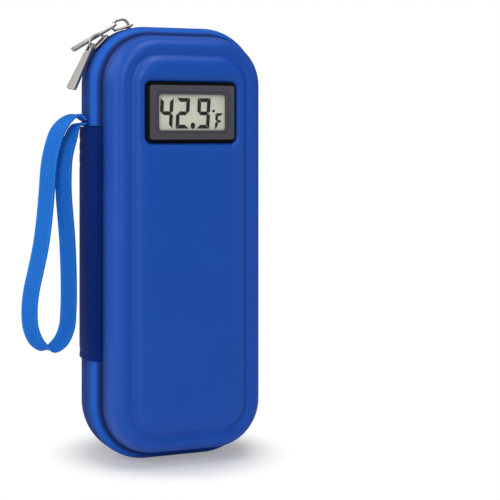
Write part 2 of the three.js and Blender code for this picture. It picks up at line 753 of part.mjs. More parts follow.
function zipPull() {
  const shape = new THREE.Shape();
  shape.moveTo(-eyeOuter, EYE_BAR / 2);
  shape.lineTo(-eyeOuter, -EYE_LONG);
  shape.lineTo(-PULL_WIDE / 2, PULL_THICK - PULL_LONG);
  shape.lineTo(-PULL_WIDE / 2 + PULL_THICK, -PULL_LONG);
  shape.lineTo(PULL_WIDE / 2 - PULL_THICK, -PULL_LONG);
  shape.lineTo(PULL_WIDE / 2, PULL_THICK - PULL_LONG);
  shape.lineTo(eyeOuter, -EYE_LONG);
  shape.lineTo(eyeOuter, EYE_BAR / 2);
  const hole = new THREE.Path();
  hole.moveTo(-EYE_INNER, -EYE_BAR / 2);
  hole.lineTo(EYE_INNER, -EYE_BAR / 2);
  hole.lineTo(EYE_INNER, GAP - EYE_LONG);
  hole.lineTo(-EYE_INNER, GAP - EYE_LONG);
  shape.holes.push(hole);
  const options = { depth: PULL_THICK, bevelEnabled: false };
  const geometry = new THREE.ExtrudeGeometry(shape, options).translate(0, 0, -PULL_THICK / 2);
  const above = box(PULL_WIDE, EYE_BAR + GAP, EYE_BAR / 2, PULL_THICK);
  const below = box(PULL_WIDE, EYE_BAR + GAP, -PULL_THICK, -EYE_BAR / 2);
  const thinned = solid(geometry).subtract(above).subtract(below);
  return thinned.rotate([90, 0, 0]).rotate([0, 0, 90]);
}

// Assembly

const object = new THREE.Group();
const bench = new THREE.Group(); // the case, with y zero where its halves meet
bench.position.y = -FOOT_MIDDLE;
object.add(bench);

const frontHalf = new THREE.Group();
frontHalf.position.z = SEAM_MIDDLE;
frontHalf.rotation.x = Math.PI / 2;

const rearHalf = new THREE.Group();
rearHalf.position.z = SEAM_MIDDLE;
rearHalf.rotation.set(Math.PI / 2, 0, Math.PI, "ZYX");
bench.add(frontHalf, rearHalf);

const FRONT_LEFT = -1;
const REAR_LEFT = 1;

frontHalf.add(
  meshOf("front_shell", shell().subtract(recess()).subtract(sleeveHole()), shellBlue()),
  meshOf("front_insulation", insulation().subtract(recess()).subtract(sleeveHole()), foam()),
  meshOf("front_foil_lining", lining().subtract(sleeveHole()), foil()),
  meshOf("front_rim_binding", rimBinding(), blackCloth()),
  meshOf("front_zip_tape", zipTape(FRONT_LEFT), tapeBlue()),
  meshOf("front_zip_coil", zipCoil(FRONT_LEFT), tapeBlue()),
  meshOf("mesh_pocket", meshPocket(), blackMesh()),
  meshOf("front_ice_pack", icePack(packInFront), packBlue()),
  meshOf("display_gasket", gasket(), rubberGrey()),
  meshOf("display_housing", displayHousing(), blackPlastic()),
  meshOf("display_lens", displayLens(), lensClear()),
  meshOf("crystal_panel", crystalPanel(), crystal()),
  meshOf("conductive_strip", conductiveStrip(), rubberGrey()),
  meshOf("circuit_board", circuitBoard(), boardGreen()),
  meshOf("left_button_cell", buttonCell(-1), steel()),
  meshOf("right_button_cell", buttonCell(1), steel()),
  meshOf("left_cell_contact", cellContact(-1), steel()),
  meshOf("right_cell_contact", cellContact(1), steel()),
  meshOf("cell_bridge", cellBridge(), steel()),
  meshOf("unit_back_cover", backCover(), blackPlastic()),
  meshOf("battery_door", batteryDoor(), blackPlastic()),
  meshOf("unit_button", unitButton(), rubberGrey()),
  meshOf("temperature_sensor", temperatureSensor(), blackPlastic()),
  meshOf("display_patch", displayPatch(), blackCloth()),
);
const pocketBands = { upper_pocket_band: UPPER_BAND_DROP, lower_pocket_band: LOWER_BAND_DROP };
Object.entries(pocketBands).forEach(([name, drop]) => {
  const band = pocketBand(meshTop - drop, POCKET_BAND, bandFrom, BAND_THICK);
  frontHalf.add(meshOf(name, band, blackCloth()));
});

const strapHigh = STRAP_RISE - seamTop;
const holdingStrap = pocketBand(strapHigh, STRAP_HEIGHT, STRAP_DEPTH, STRAP_THICK);
rearHalf.add(
  meshOf("rear_shell", shell(), shellBlue()),
  meshOf("rear_insulation", insulation(), foam()),
  meshOf("rear_foil_lining", lining(), foil()),
  meshOf("rear_rim_binding", rimBinding(), blackCloth()),
  meshOf("rear_zip_tape", zipTape(REAR_LEFT), tapeBlue()),
  meshOf("rear_zip_coil", zipCoil(REAR_LEFT), tapeBlue()),
  meshOf("rear_ice_pack", icePack(packInRear), packBlue()),
  meshOf("vial_pouch", vialPouch(), foil()),
  meshOf("pouch_trim", pouchTrim(), blackCloth()),
  meshOf("holding_strap", holdingStrap, blackCloth()),
);

// The spine lies on the front half's side of the plane drawing, so it shares that half's group
const spinePiece = (profile) => ringAround(profile).intersect(spineWindow(FRONT_LEFT, 0));
frontHalf.add(
  meshOf("spine_cover", spinePiece(spineProfile), coverBlue()),
  meshOf("spine_gusset", spinePiece(gussetProfile), blackCloth()),
);
bench.add(meshOf("wrist_strap", wristStrap(), webBlue()));

// Sliders and pulls ride the top left corner
const corner = new THREE.Group();
corner.position.set(-CORNER_X, 0, CORNER_Z);
bench.add(corner);

function sliderAt(turn, name) {
  const turned = new THREE.Group();
  turned.rotation.y = -turn;
  const carrier = new THREE.Group();
  carrier.position.z = SEAM_RADIUS + BAND_CREST;
  carrier.add(meshOf(name, zipSlider(), nickel()));
  turned.add(carrier);
  corner.add(turned);
}

function pullAt(turn, share, swing, yaw, shift, name) {
  const high = SEAM_RADIUS + BAND_CREST + plateTop + share * (BAIL_TALL - BAIL_WIRE);
  const pivot = new THREE.Group();
  pivot.position.set(
    pivotLow * Math.cos(turn) - high * Math.sin(turn), -shift,
    pivotLow * Math.sin(turn) + high * Math.cos(turn),
  );
  pivot.rotation.set(0, swing, -yaw, "ZYX");
  pivot.add(meshOf(name, zipPull(), nickel()));
  corner.add(pivot);
}

sliderAt(LEFT_SLIDER, "left_slider");
pullAt(LEFT_SLIDER, leftPullShare, LEFT_PULL, 0, 0, "left_pull");
sliderAt(RIGHT_SLIDER, "right_slider");
pullAt(
  RIGHT_SLIDER, rightPullShare, RIGHT_PULL, RIGHT_PULL_YAW, RIGHT_PULL_SHIFT, "right_pull",
);

export default object;
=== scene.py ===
# %% [markdown]
# # A cooling case
# The real case is two moulded shells joined by a zip, standing on its lower end. Its solids come
# from a CAD model and are loaded as a fixed frame. Each visible part is then modelled again in
# finer detail on the same spot, and told which body of the frame carries it. Lengths in this
# file are millimetres where they are typed, and become metres on the way into a mesh.

# %% Load the frame
import math
import bpy
import bmesh
from mathutils import Matrix, Vector, noise


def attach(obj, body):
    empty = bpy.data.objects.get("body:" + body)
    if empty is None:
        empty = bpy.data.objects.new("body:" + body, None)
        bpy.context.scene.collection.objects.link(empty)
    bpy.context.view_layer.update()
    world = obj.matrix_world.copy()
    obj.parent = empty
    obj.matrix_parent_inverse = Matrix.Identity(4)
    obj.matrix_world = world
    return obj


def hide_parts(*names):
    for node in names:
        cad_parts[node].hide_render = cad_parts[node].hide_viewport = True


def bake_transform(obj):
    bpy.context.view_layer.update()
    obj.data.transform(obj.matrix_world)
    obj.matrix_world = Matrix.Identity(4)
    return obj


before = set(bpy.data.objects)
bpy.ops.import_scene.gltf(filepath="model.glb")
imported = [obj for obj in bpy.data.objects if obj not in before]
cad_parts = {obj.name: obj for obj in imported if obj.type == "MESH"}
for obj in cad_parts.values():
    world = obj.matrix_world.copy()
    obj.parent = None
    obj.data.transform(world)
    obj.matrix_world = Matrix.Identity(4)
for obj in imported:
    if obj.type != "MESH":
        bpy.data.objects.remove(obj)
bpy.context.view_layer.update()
MM = 0.001

# %% [markdown]
# ## Camera
# The photograph was taken level, a little to the left of the case, with a long lens, and the
# case stands in the left of the picture. A level camera with its frame shifted gives upright
# edges that stay parallel, which a tilted one wouldn't.

# %% Camera
YAW = math.radians(21.7)
DISTANCE = 710 * MM
EYE = 175.5 * MM  # the camera's height above the floor
PARTING = -2.8 * MM  # where the two halves meet
PHOTO = 500  # pixels to a side
FOCAL = 1286.5  # focal length in pixels
AHEAD = (170, 134.2)  # the pixel that lies straight ahead of the camera
lens_data = bpy.data.cameras.new("camera")
lens_data.sensor_width = 36
lens_data.lens = lens_data.sensor_width * FOCAL / PHOTO
lens_data.shift_x = (PHOTO / 2 - AHEAD[0]) / PHOTO
lens_data.shift_y = (AHEAD[1] - PHOTO / 2) / PHOTO
lens_data.clip_end = 20
camera = bpy.data.objects.new("camera", lens_data)
camera.location = (-DISTANCE * math.sin(YAW), PARTING - DISTANCE * math.cos(YAW), EYE)
camera.rotation_euler = (math.radians(90), 0, -YAW)
bpy.context.scene.collection.objects.link(camera)
bpy.context.scene.camera = camera
bpy.context.scene.view_settings.view_transform = "Standard"
print("lens", round(lens_data.lens, 2), "mm")

# %% [markdown]
# ## Lamps
# A satin shell mirrors its lamps as long pale streaks. So the lamps are large soft rectangles, as
# in a studio, and two narrow upright ones at the left draw the streaks along the shell's edge.
# Places and sizes are in metres, and every lamp is aimed at the middle of the case.

# %% Lamps
MIDDLE = Vector((0, 0, 0.12))


def lamp(name, place, size, power):
    data = bpy.data.lights.new(name, "AREA")
    data.shape = "RECTANGLE"
    data.size, data.size_y = size
    data.energy = power
    made = bpy.data.objects.new(name, data)
    made.location = place
    made.rotation_euler = (MIDDLE - Vector(place)).to_track_quat("-Z", "Y").to_euler()
    bpy.context.scene.collection.objects.link(made)


lamp("key", (-0.6, -0.95, 0.75), (0.6, 0.7), 5.2)
lamp("strip", (-0.97, 0.1, 0.3), (0.16, 1.0), 2.2)
lamp("edge", (-0.8, -0.7, 0.25), (0.12, 1.0), 1.0)
lamp("fill", (0.95, -0.7, 0.35), (0.8, 0.8), 1.2)
lamp("top", (0.0, -0.2, 1.1), (0.6, 0.5), 4.2)
lamp("rim", (-0.7, 0.6, 0.75), (0.8, 0.8), 1.6)

# %% [markdown]
# ## Shader nodes as arithmetic
# A finish is a small graph of nodes. Wrapping a socket in a class that knows plus, minus, times
# and powers lets the graph be written as a formula, which is far shorter than linking by hand.

# %% A socket that does arithmetic
class Wire:
    """One output socket of a material. Python's operators on it add Math nodes."""

    def __init__(self, tree, socket):
        self.tree = tree
        self.socket = socket

    def node(self, kind, settings, inputs, out=0):
        """Adds a node: first its settings, then the values or wires of its sockets."""
        made = self.tree.nodes.new(kind)
        for key, value in settings.items():
            setattr(made, key, value)
        for key, value in inputs.items():
            if isinstance(value, Wire):
                self.tree.links.new(value.socket, made.inputs[key])
            else:
                made.inputs[key].default_value = value
        return Wire(self.tree, made.outputs[out])

    def maths(self, operation, *values):
        return self.node("ShaderNodeMath", {"operation": operation}, dict(enumerate(values)))

    def __add__(self, other):
        return self.maths("ADD", self, other)

    def __radd__(self, other):
        return self.maths("ADD", other, self)

    def __sub__(self, other):
        return self.maths("SUBTRACT", self, other)

    def __rsub__(self, other):
        return self.maths("SUBTRACT", other, self)

    def __mul__(self, other):
        return self.maths("MULTIPLY", self, other)

    def __rmul__(self, other):
        return self.maths("MULTIPLY", other, self)

    def __pow__(self, other):
        return self.maths("POWER", self, other)

    def sine(self):
        return self.maths("SINE", self)

    def size(self):
        return self.maths("ABSOLUTE", self)

    def wave(self, pitch):
        """A ripple between nought and one that repeats at a pitch in millimetres."""
        return (self * (2 * math.pi / pitch)).sine() * 0.5 + 0.5

    def step(self, low, high):
        """Nought below low, one above high, smooth between them."""
        settings = {"interpolation_type": "SMOOTHSTEP"}
        inputs = {"Value": self, "From Min": low, "From Max": high}
        return self.node("ShaderNodeMapRange", settings, inputs)

    def axes(self):
        apart = self.node("ShaderNodeSeparateXYZ", {}, {"Vector": self}).socket.node
        return [Wire(self.tree, socket) for socket in apart.outputs]

    def grain(self, per_mm, detail=2.0, rough=0.5):
        """Noise of a size given in grains to the millimetre, from nought to one."""
        inputs = {"Vector": self, "Scale": per_mm, "Detail": detail, "Roughness": rough}
        return self.node("ShaderNodeTexNoise", {}, inputs)


def linear(red, green, blue):
    """A screen colour, nought to 255, as the linear colour that shaders use."""
    shares = (channel / 255 for channel in (red, green, blue))
    return tuple(s / 12.92 if s < 0.04045 else ((s + 0.055) / 1.055) ** 2.4 for s in shares) + (1,)


print("grey 128 is", round(linear(128, 128, 128)[0], 3))

# %% [markdown]
# ## A finish
# Every material here is one Principled shader with a pattern in its colour, gloss or relief. The
# pattern is read from Object coordinates, or from the piece's own map where it follows the cloth.
# A class keeps a shader and its nodes together, so a finish takes only a few lines.

# %% A finish and what it is made of
class Finish:
    """A material with one Principled shader, and where its pattern is read from."""

    def __init__(self, name, colour, roughness, **constants):
        self.material = bpy.data.materials.new(name)
        self.material.use_nodes = True
        self.tree = self.material.node_tree
        self.shader = self.tree.nodes["Principled BSDF"]
        self.shader.inputs["Base Color"].default_value = linear(*colour)
        self.shader.inputs["Roughness"].default_value = roughness
        for key, value in constants.items():
            self.shader.inputs[key.replace("_", " ")].default_value = value

    def coordinates(self):
        """Object coordinates in millimetres."""
        start = Wire(self.tree, None)
        place = start.node("ShaderNodeTexCoord", {}, {}, out="Object")
        settings = {"operation": "SCALE"}
        return place.node("ShaderNodeVectorMath", settings, {"Vector": place, "Scale": 1 / MM})

    def cloth(self):
        """The piece's own map in millimetres: along the piece, and across it."""
        return Wire(self.tree, None).node("ShaderNodeUVMap", {"uv_map": "cloth"}, {})

    def set(self, key, wire):
        self.tree.links.new(wire.socket, self.shader.inputs[key])

    def tint(self, mask, dark, light):
        """Base colour between two screen colours, by a mask."""
        inputs = {"Factor": mask, 6: linear(*dark), 7: linear(*light)}
        mixed = mask.node("ShaderNodeMix", {"data_type": "RGBA"}, inputs, out=2)
        self.set("Base Color", mixed)

    def relief(self, height, depth_mm):
        """Bump: a height of nought to one, and how deep one is."""
        inputs = {"Height": height, "Distance": depth_mm * MM, "Strength": 1.0}
        self.set("Normal", height.node("ShaderNodeBump", {}, inputs))


def dress(piece, finish):
    piece.data.materials.clear()
    piece.data.materials.append(finish.material)


print("principled sockets", len(Finish("trial", (128, 128, 128), 0.5).shader.inputs))
bpy.data.materials.remove(bpy.data.materials["trial"])

# %% [markdown]
# ## Floor and background
# The floor is pale and keeps the case's soft shadow. The world is white to the camera and to
# reflections, so nickel and the shell mirror a bright studio, but it lights the case gently.

# %% Floor and world
bpy.ops.object.select_all(action="DESELECT")
bpy.ops.mesh.primitive_plane_add(size=12, location=(0, 0, -0.2 * MM))
floor = bpy.context.object
floor.name = "floor"
SHADE = (0.036, 0.07)  # metres from the middle, between which the floor turns white
NEAREST = 0.3  # how far it is white close to the case
pale = Finish("pale_floor", (244, 245, 248), 0.3)
seen = Wire(pale.tree, None).node("ShaderNodeLightPath", {}, {}, out="Is Camera Ray")
far = Wire(pale.tree, None).node("ShaderNodeTexCoord", {}, {}, out="Object")
length = far.node("ShaderNodeVectorMath", {"operation": "LENGTH"}, {0: far}, out="Value")
fade = seen * (NEAREST + (1 - NEAREST) * length.step(*SHADE))
glow = seen.node("ShaderNodeEmission", {}, {"Color": (1, 1, 1, 1), "Strength": 1.0})
mixed = seen.node(
    "ShaderNodeMixShader", {}, {0: fade, 1: Wire(pale.tree, pale.shader.outputs[0]), 2: glow}
)
pale.tree.links.new(mixed.socket, pale.tree.nodes["Material Output"].inputs["Surface"])
dress(floor, pale)

world = bpy.data.worlds.new("studio")
bpy.context.scene.world = world
world.use_nodes = True
sky = Wire(world.node_tree, None)
path = sky.node("ShaderNodeLightPath", {}, {}, out=0).socket.node
camera_ray = Wire(world.node_tree, path.outputs["Is Camera Ray"])
glossy_ray = Wire(world.node_tree, path.outputs["Is Glossy Ray"])
through_ray = Wire(world.node_tree, path.outputs["Is Transmission Ray"])
bright = camera_ray.maths("MAXIMUM", camera_ray, through_ray)
strength = 0.16 + 0.84 * bright + 0.06 * glossy_ray
backdrop = world.node_tree.nodes["Background"]
backdrop.inputs["Color"].default_value = (1, 1, 1, 1)
world.node_tree.links.new(strength.socket, backdrop.inputs["Strength"])
print("floor and world ready")

# %% [markdown]
# ## Picking what an operator acts on
# A piece starts as one of Blender's primitives. An operator acts on everything that is selected,
# so each helper first deselects all and then picks what it needs by place.

# %% Selecting
def only(piece):
    bpy.ops.object.select_all(action="DESELECT")
    piece.select_set(True)
    bpy.context.view_layer.objects.active = piece


def editing(piece, action="SELECT"):
    only(piece)
    bpy.ops.object.mode_set(mode="EDIT")
    bpy.ops.mesh.select_mode(type="VERT")
    bpy.ops.mesh.select_all(action=action)


def done():
    bpy.ops.object.mode_set(mode="OBJECT")


def pick(piece, test):
    """Selects the vertices that pass a test of their place in millimetres."""
    mesh = bmesh.from_edit_mesh(piece.data)
    for vertex in mesh.verts:
        vertex.select = test(vertex.co / MM)
    mesh.select_flush_mode()
    mesh.select_flush(True)
    bmesh.update_edit_mesh(piece.data)


print("selected so far:", [piece.name for piece in bpy.context.selected_objects])

# %% [markdown]
# ## Shaping a mesh and closing it
# Vertices can be moved by a rule on their place, much as a sculpting brush moves them. A modifier
# is applied at once, so later steps work on the real mesh. Spinning and extruding leave double
# vertices and inverted faces, so these are merged and turned outwards.

# %% Shaping
DOUBLES = 0.01  # vertices closer than this are merged


def moved(piece, rule):
    """Moves each vertex by a rule on its place in millimetres, as a sculpting brush would."""
    for vertex in piece.data.vertices:
        vertex.co = Vector(rule(vertex.co / MM)) * MM
    piece.data.update()


def modify(piece, kind, **settings):
    only(piece)
    modifier = piece.modifiers.new(kind.lower(), kind)
    for key, value in settings.items():
        setattr(modifier, key, value)
    bpy.ops.object.modifier_apply(modifier=modifier.name)


def closed(piece):
    """Merges doubles and turns the faces outwards."""
    editing(piece)
    bpy.ops.mesh.remove_doubles(threshold=DOUBLES * MM)
    bpy.ops.mesh.normals_make_consistent(inside=False)
    done()


def smooth(piece, degrees=35):
    only(piece)
    bpy.ops.object.shade_smooth_by_angle(angle=math.radians(degrees))


def placed(piece, matrix):
    piece.matrix_world = matrix
    only(piece)
    bpy.ops.object.transform_apply(location=True, rotation=True, scale=True)


print("vertices closer than", DOUBLES, "mm are merged")

# %% [markdown]
# ## Handing a piece over
# A finished piece gets its name and finish, and the frame is told which body carries it and which
# solids it stands for. Many pieces have a twin in the other half: a copy, turned over across the
# plane where the halves meet.

# %% Handing over and mirroring
def handed_over(piece, name, finish, body=None, stands_for=()):
    """Names a piece, gives it its finish, and tells the frame what it is."""
    piece.name = name
    piece.data.name = name
    dress(piece, finish)
    if body:
        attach(piece, body)
    if stands_for:
        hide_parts(*stands_for)
    triangles = sum(len(face.vertices) - 2 for face in piece.data.polygons)
    print(f"{name}: {triangles} triangles")


def copy_of(piece):
    only(piece)
    bpy.ops.object.duplicate()
    return bpy.context.object


def turned_over(piece):
    """Brings a piece to the other half, across the plane where the two meet."""
    editing(piece)
    bpy.ops.transform.resize(value=(1, -1, 1), center_override=(0, PARTING, 0))
    bpy.ops.mesh.flip_normals()
    done()
    return piece


def mirrored(piece):
    return turned_over(copy_of(piece))


print("the halves meet at y =", round(PARTING / MM, 1), "mm")

# %% [markdown]
# ## The outline of the case
# Shells, tapes, coils, bindings and linings all follow one outline: a tall rectangle with round
# corners. A piece is made lying flat, with its depth upwards, because depths are then easy to
# type, and one matrix stands it up in its place.

# %% The outline
SEAM = (86.8, 222.4, 26.2)  # width, height and corner radius
CENTRE = 116.9  # height of its middle above the floor
FRONT = Matrix.Translation((0, PARTING, CENTRE * MM)) @ Matrix.Rotation(math.radians(90), 4, "X")
SPINE = (55.0, 179.6)  # heights between which the spine takes over


def rounded(points, steps=3):
    """A smooth line through the points."""
    last = len(points) - 1
    result = []
    for i in range(last):
        near = [points[min(max(j, 0), last)] for j in range(i - 1, i + 3)]
        for step in range(steps):
            t = step / steps
            result.append(tuple(
                0.5 * (2 * b + (c - a) * t + (2 * a - 5 * b + 4 * c - d) * t ** 2
                       + (3 * b - a - 3 * c + d) * t ** 3)
                for a, b, c, d in zip(*near)
            ))
    return result + [tuple(points[-1])]


def corners_of(outline):
    """Middles and radii of the corners, from the top right one round to the left."""
    width, height, top, foot = outline if len(outline) == 4 else (*outline, outline[2])
    signs = [(1, 1, top), (-1, 1, top), (-1, -1, foot), (1, -1, foot)]
    return [(sx * (width / 2 - r), sy * (height / 2 - r), r) for sx, sy, r in signs]


print("outline:", SEAM, "mm, with", len(corners_of(SEAM)), "corners")

# %% [markdown]
# ## Carrying a section round the outline
# A section is a list of insets from the seam and depths outward. It is drawn once, spun round a
# corner, extruded along a side, spun again, and so on until it meets itself. Spinning keeps the
# section true in the corners, where a bevelled curve may pinch.

# %% Carrying a section
def section(points, loop, corner):
    """Draws a section as a ring of vertices, standing at the start of a corner."""
    bpy.ops.object.select_all(action="DESELECT")
    bpy.ops.mesh.primitive_circle_add(vertices=len(points), radius=1)
    piece = bpy.context.object
    for vertex, (inset, depth) in zip(piece.data.vertices, points):
        vertex.co = Vector((corner[0] - inset, corner[1], depth)) * MM
    if not loop:
        editing(piece, "DESELECT")
        mesh = bmesh.from_edit_mesh(piece.data)
        mesh.verts.ensure_lookup_table()
        mesh.edges.get((mesh.verts[0], mesh.verts[-1])).select = True
        bmesh.update_edit_mesh(piece.data)
        bpy.ops.mesh.select_mode(type="EDGE")
        bpy.ops.mesh.delete(type="EDGE")
        done()
    return piece


def carried(points, outline=SEAM, loop=True, spins=16, cuts=(24, 8)):
    """Carries a section round the whole outline. The result lies flat, opening down."""
    corners = corners_of(outline)
    piece = section(points, loop, (corners[0][0] + corners[0][2], corners[0][1]))
    editing(piece)
    for i, (cx, cy, radius) in enumerate(corners):
        bpy.ops.mesh.spin(
            steps=spins, angle=-math.pi / 2, center=(cx * MM, cy * MM, 0), axis=(0, 0, 1)
        )
        nx, ny, following = corners[(i + 1) % 4]
        out_x, out_y = [(0, 1), (-1, 0), (0, -1), (1, 0)][i]
        count = cuts[i % 2 == 0]
        step = (
            (nx - cx + (following - radius) * out_x) * MM / count,
            (ny - cy + (following - radius) * out_y) * MM / count,
            0,
        )
        for _ in range(count):
            bpy.ops.mesh.extrude_region_move(TRANSFORM_OT_translate={"value": step})
    done()
    closed(piece)
    return piece


print("a section starts at", [round(v, 1) for v in corners_of(SEAM)[0]])

# %% [markdown]
# ## Plates, cuts and bevels
# Many small parts are plates with round corners: a ring of vertices is filled and extruded. Windows
# and slots are cut by a boolean, which is shorter than insetting and deleting faces, and the edges
# are bevelled last.

# %% Plates and cuts
CORNER_STEPS = 8


def tablet(outline, low, high, place=(0, 0), steps=CORNER_STEPS):
    """A flat plate with round corners between two depths."""
    bpy.ops.object.select_all(action="DESELECT")
    bpy.ops.mesh.primitive_circle_add(vertices=4 * (steps + 1), radius=1)
    piece = bpy.context.object
    corners = corners_of(outline)
    for i, vertex in enumerate(piece.data.vertices):
        cx, cy, radius = corners[i // (steps + 1)]
        turn = math.pi / 2 * (i // (steps + 1) + i % (steps + 1) / steps)
        x = place[0] + cx + radius * math.cos(turn)
        y = place[1] + cy + radius * math.sin(turn)
        vertex.co = Vector((x, y, low)) * MM
    raised(piece, (0, 0, (high - low) * MM))
    return piece


def raised(piece, step, count=1):
    """Fills a ring of vertices and extrudes it into a solid."""
    editing(piece)
    bpy.ops.mesh.edge_face_add()
    for _ in range(count):
        bpy.ops.mesh.extrude_region_move(TRANSFORM_OT_translate={"value": step})
    done()
    closed(piece)


def drawn(points, thick, place=(0, 0, 0)):
    """A solid from an outline typed point by point, as thick as told."""
    bpy.ops.object.select_all(action="DESELECT")
    bpy.ops.mesh.primitive_circle_add(vertices=len(points), radius=1)
    piece = bpy.context.object
    for vertex, (x, y) in zip(piece.data.vertices, points):
        vertex.co = (Vector((x, y, 0)) + Vector(place)) * MM
    raised(piece, (0, 0, thick * MM))
    return piece


def cut(piece, cutter):
    modify(piece, "BOOLEAN", object=cutter, operation="DIFFERENCE", solver="EXACT")
    bpy.data.objects.remove(cutter)


def joined(*parts):
    only(parts[0])
    for part in parts[1:]:
        part.select_set(True)
    bpy.ops.object.join()
    return bpy.context.object


def bevelled(piece, width, segments=2, degrees=50):
    modify(
        piece, "BEVEL", width=width * MM, segments=segments, limit_method="ANGLE",
        angle_limit=math.radians(degrees),
    )
    smooth(piece, 40)


print("points round a plate:", 4 * (CORNER_STEPS + 1))

# %% [markdown]
# ## A piece's own map
# Ribs on a tape follow it round the corners, which a pattern read from Object coordinates can't do.
# So pieces of cloth get a map of their own: how far along the outline a place lies, and how far
# across.

# %% Map of a piece
def around(x, y):
    """Length along the seam's outline, from the middle of the left side up to a place."""
    width, height, radius = SEAM
    side, end = width / 2 - radius, height / 2 - radius
    half = 2 * (side + end) + math.pi * radius
    over, up = max(abs(x) - side, 0), max(abs(y) - end, 0)
    turn = math.atan2(up, over) if over or up else 0
    part = min(abs(y), end) + turn * radius + (side - min(abs(x), side) if not over else 0)
    return math.copysign(part if x < 0 else half - part, y or 1), half


def mapped(piece, rule, half=None):
    """Lays the piece's own map: a rule gives along and across for a place in millimetres."""
    layer = piece.data.uv_layers.new(name="cloth")
    for face in piece.data.polygons:
        places = [rule(piece.data.vertices[i].co / MM) for i in face.vertices]
        wraps = half and max(p[0] for p in places) - min(p[0] for p in places) > half
        for loop, (along, across) in zip(face.loop_indices, places):
            layer.data[loop].uv = (along + 2 * half if wraps and along < 0 else along, across)


print("half of the seam's length:", round(around(1, 1)[1], 1), "mm")

# %% [markdown]
# ## Shells
# The shell is pressed from foam board with a smooth coated cloth on top. Its wall leans in from
# the zip band, rolls over a soft ridge, dips in a groove and rises to a flat face. Only half of
# the outline is typed, and a smooth line is drawn through it.

# %% Shell blank
SHELL_OUT = [
    (0.63, 12.4), (-0.1, 12.95), (-0.55, 14.2), (-0.65, 15.5), (0.58, 21.1), (1.6, 25.4), (3.0, 28.0),
    (5.0, 29.6), (7.1, 30.1), (8.8, 29.7), (10.2, 29.3), (11.4, 29.85), (12.9, 31.1),
    (14.6, 32.1), (17.5, 32.8), (21.0, 33.08), (24.0, 33.1),
]
SHELL_IN = [(24.0, 29.1), (15.3, 28.8), (12.5, 26.05), (8.3, 25.45), (5.9, 21.75), (4.6, 11.0),
            (0.63, 11.0)]


def capped(piece, depth, cuts):
    """Closes a flat opening at one depth with a grid of faces."""
    editing(piece, "DESELECT")
    mesh = bmesh.from_edit_mesh(piece.data)
    for edge in mesh.edges:
        level = all(abs(vertex.co.z / MM - depth) < 0.01 for vertex in edge.verts)
        edge.select = edge.is_boundary and level
    bmesh.update_edit_mesh(piece.data)
    bpy.ops.mesh.select_mode(type="EDGE")
    bpy.ops.mesh.fill_grid(span=cuts)
    done()


def shell_blank():
    piece = carried(SHELL_IN + rounded(SHELL_OUT), loop=False, spins=14, cuts=(56, 12))
    capped(piece, SHELL_OUT[-1][1], 12 + 14)
    capped(piece, SHELL_IN[0][1], 12 + 14)
    closed(piece)
    return piece


front_shell = shell_blank()
rear_shell = copy_of(front_shell)
print("shell blank faces", len(front_shell.data.polygons))

# %% [markdown]
# The front shell has an opening for the display. Its cloth rolls down into the opening like the
# edge of a cushion. The faces near it are divided more finely, the opening is cut, and every
# vertex near it is lowered by a quarter of an ellipse.

# %% Opening for the display
UNIT = (0, 70.1)  # the display's middle, measured from the case's
OPENING = (52, 32.6, 3.3)
ROLL = (5.0, 3.0)  # reach and depth


def beyond(x, y, outline):
    """How far a place lies outside a rectangle with round corners."""
    width, height, radius = outline
    over, up = abs(x) - width / 2 + radius, abs(y) - height / 2 + radius
    return math.hypot(max(over, 0), max(up, 0)) + min(max(over, up), 0) - radius


def near_opening(reach):
    return lambda p: p.z > 29.5 and -reach < beyond(p.x, p.y - UNIT[1], OPENING) < reach


def rolled(p):
    share = min(max(beyond(p.x, p.y - UNIT[1], OPENING) / ROLL[0], 0), 1)
    drop = ROLL[1] * (1 - math.sqrt(1 - (1 - share) ** 2))
    return p - Vector((0, 0, drop if p.z > 29.5 and abs(p.y - UNIT[1]) < 24 else 0))


for reach, cuts in ((8.5, 2), (3.5, 2)):
    editing(front_shell, "DESELECT")
    pick(front_shell, near_opening(reach))
    bpy.ops.mesh.subdivide(number_cuts=cuts)
    done()
cut(front_shell, tablet(OPENING, 20, 40, UNIT))
moved(front_shell, rolled)
print("front shell faces", len(front_shell.data.polygons))

# %% [markdown]
# The cloth on the shell is a tight knit with a satin coat: one blue with a very fine grain, and a
# slow unevenness in its gloss where it was stretched over the ridges. Shade is painted into its
# colour too: it is darker in the groove round the face and on the wall next to the zip band.

# %% Shell finish
shell_blue = Finish("shell_blue", (12, 74, 176), 0.4, Specular_IOR_Level=0.32)
place = shell_blue.coordinates()
grain = place.grain(3.2, 3)
slow = place.grain(0.03, 2)
x, y, z = place.axes()
depth = (y - PARTING / MM).size()
over = (x.size() - 17.2).maths("MAXIMUM", 0)
up = ((z - CENTRE).size() - 85).maths("MAXIMUM", 0)
inset = 26.2 - (over * over + up * up) ** 0.5
# Painted shade in the groove round the face.
groove = (1 - (inset - 10.6).size().step(0.3, 2.6)) * depth.step(27, 29)
# Painted shade on the wall next to the zip band, fading out away from the seam.
seam = 1 - depth.step(14.0, 22.0)
painted_shade = groove.maths("MAXIMUM", groove, seam)
cloth = 0.78 + 0.22 * (grain * 0.4 + slow * 0.6)
# The painted shade darkens the colour by up to three quarters.
shell_blue.tint(cloth * (1 - painted_shade * 0.75), (0, 22, 84), (14, 84, 190))
shell_blue.set("Roughness", 0.34 + slow * 0.12 + grain * 0.06)
shell_blue.relief(grain, 0.035)
smooth(front_shell, 50)
smooth(rear_shell, 50)
placed(front_shell, FRONT)
placed(rear_shell, FRONT)
turned_over(rear_shell)
handed_over(front_shell, "front_case_shell", shell_blue, "front_half", ["front_shell"])
handed_over(rear_shell, "rear_case_shell", shell_blue, "rear_half", ["rear_shell"])

# %% [markdown]
# ## Zip tapes
# Two tapes of woven cloth bulge out past the seam and meet at the coil. Fine ribs run across each
# tape where it turns in to the coil. On the left side the spine takes their place.

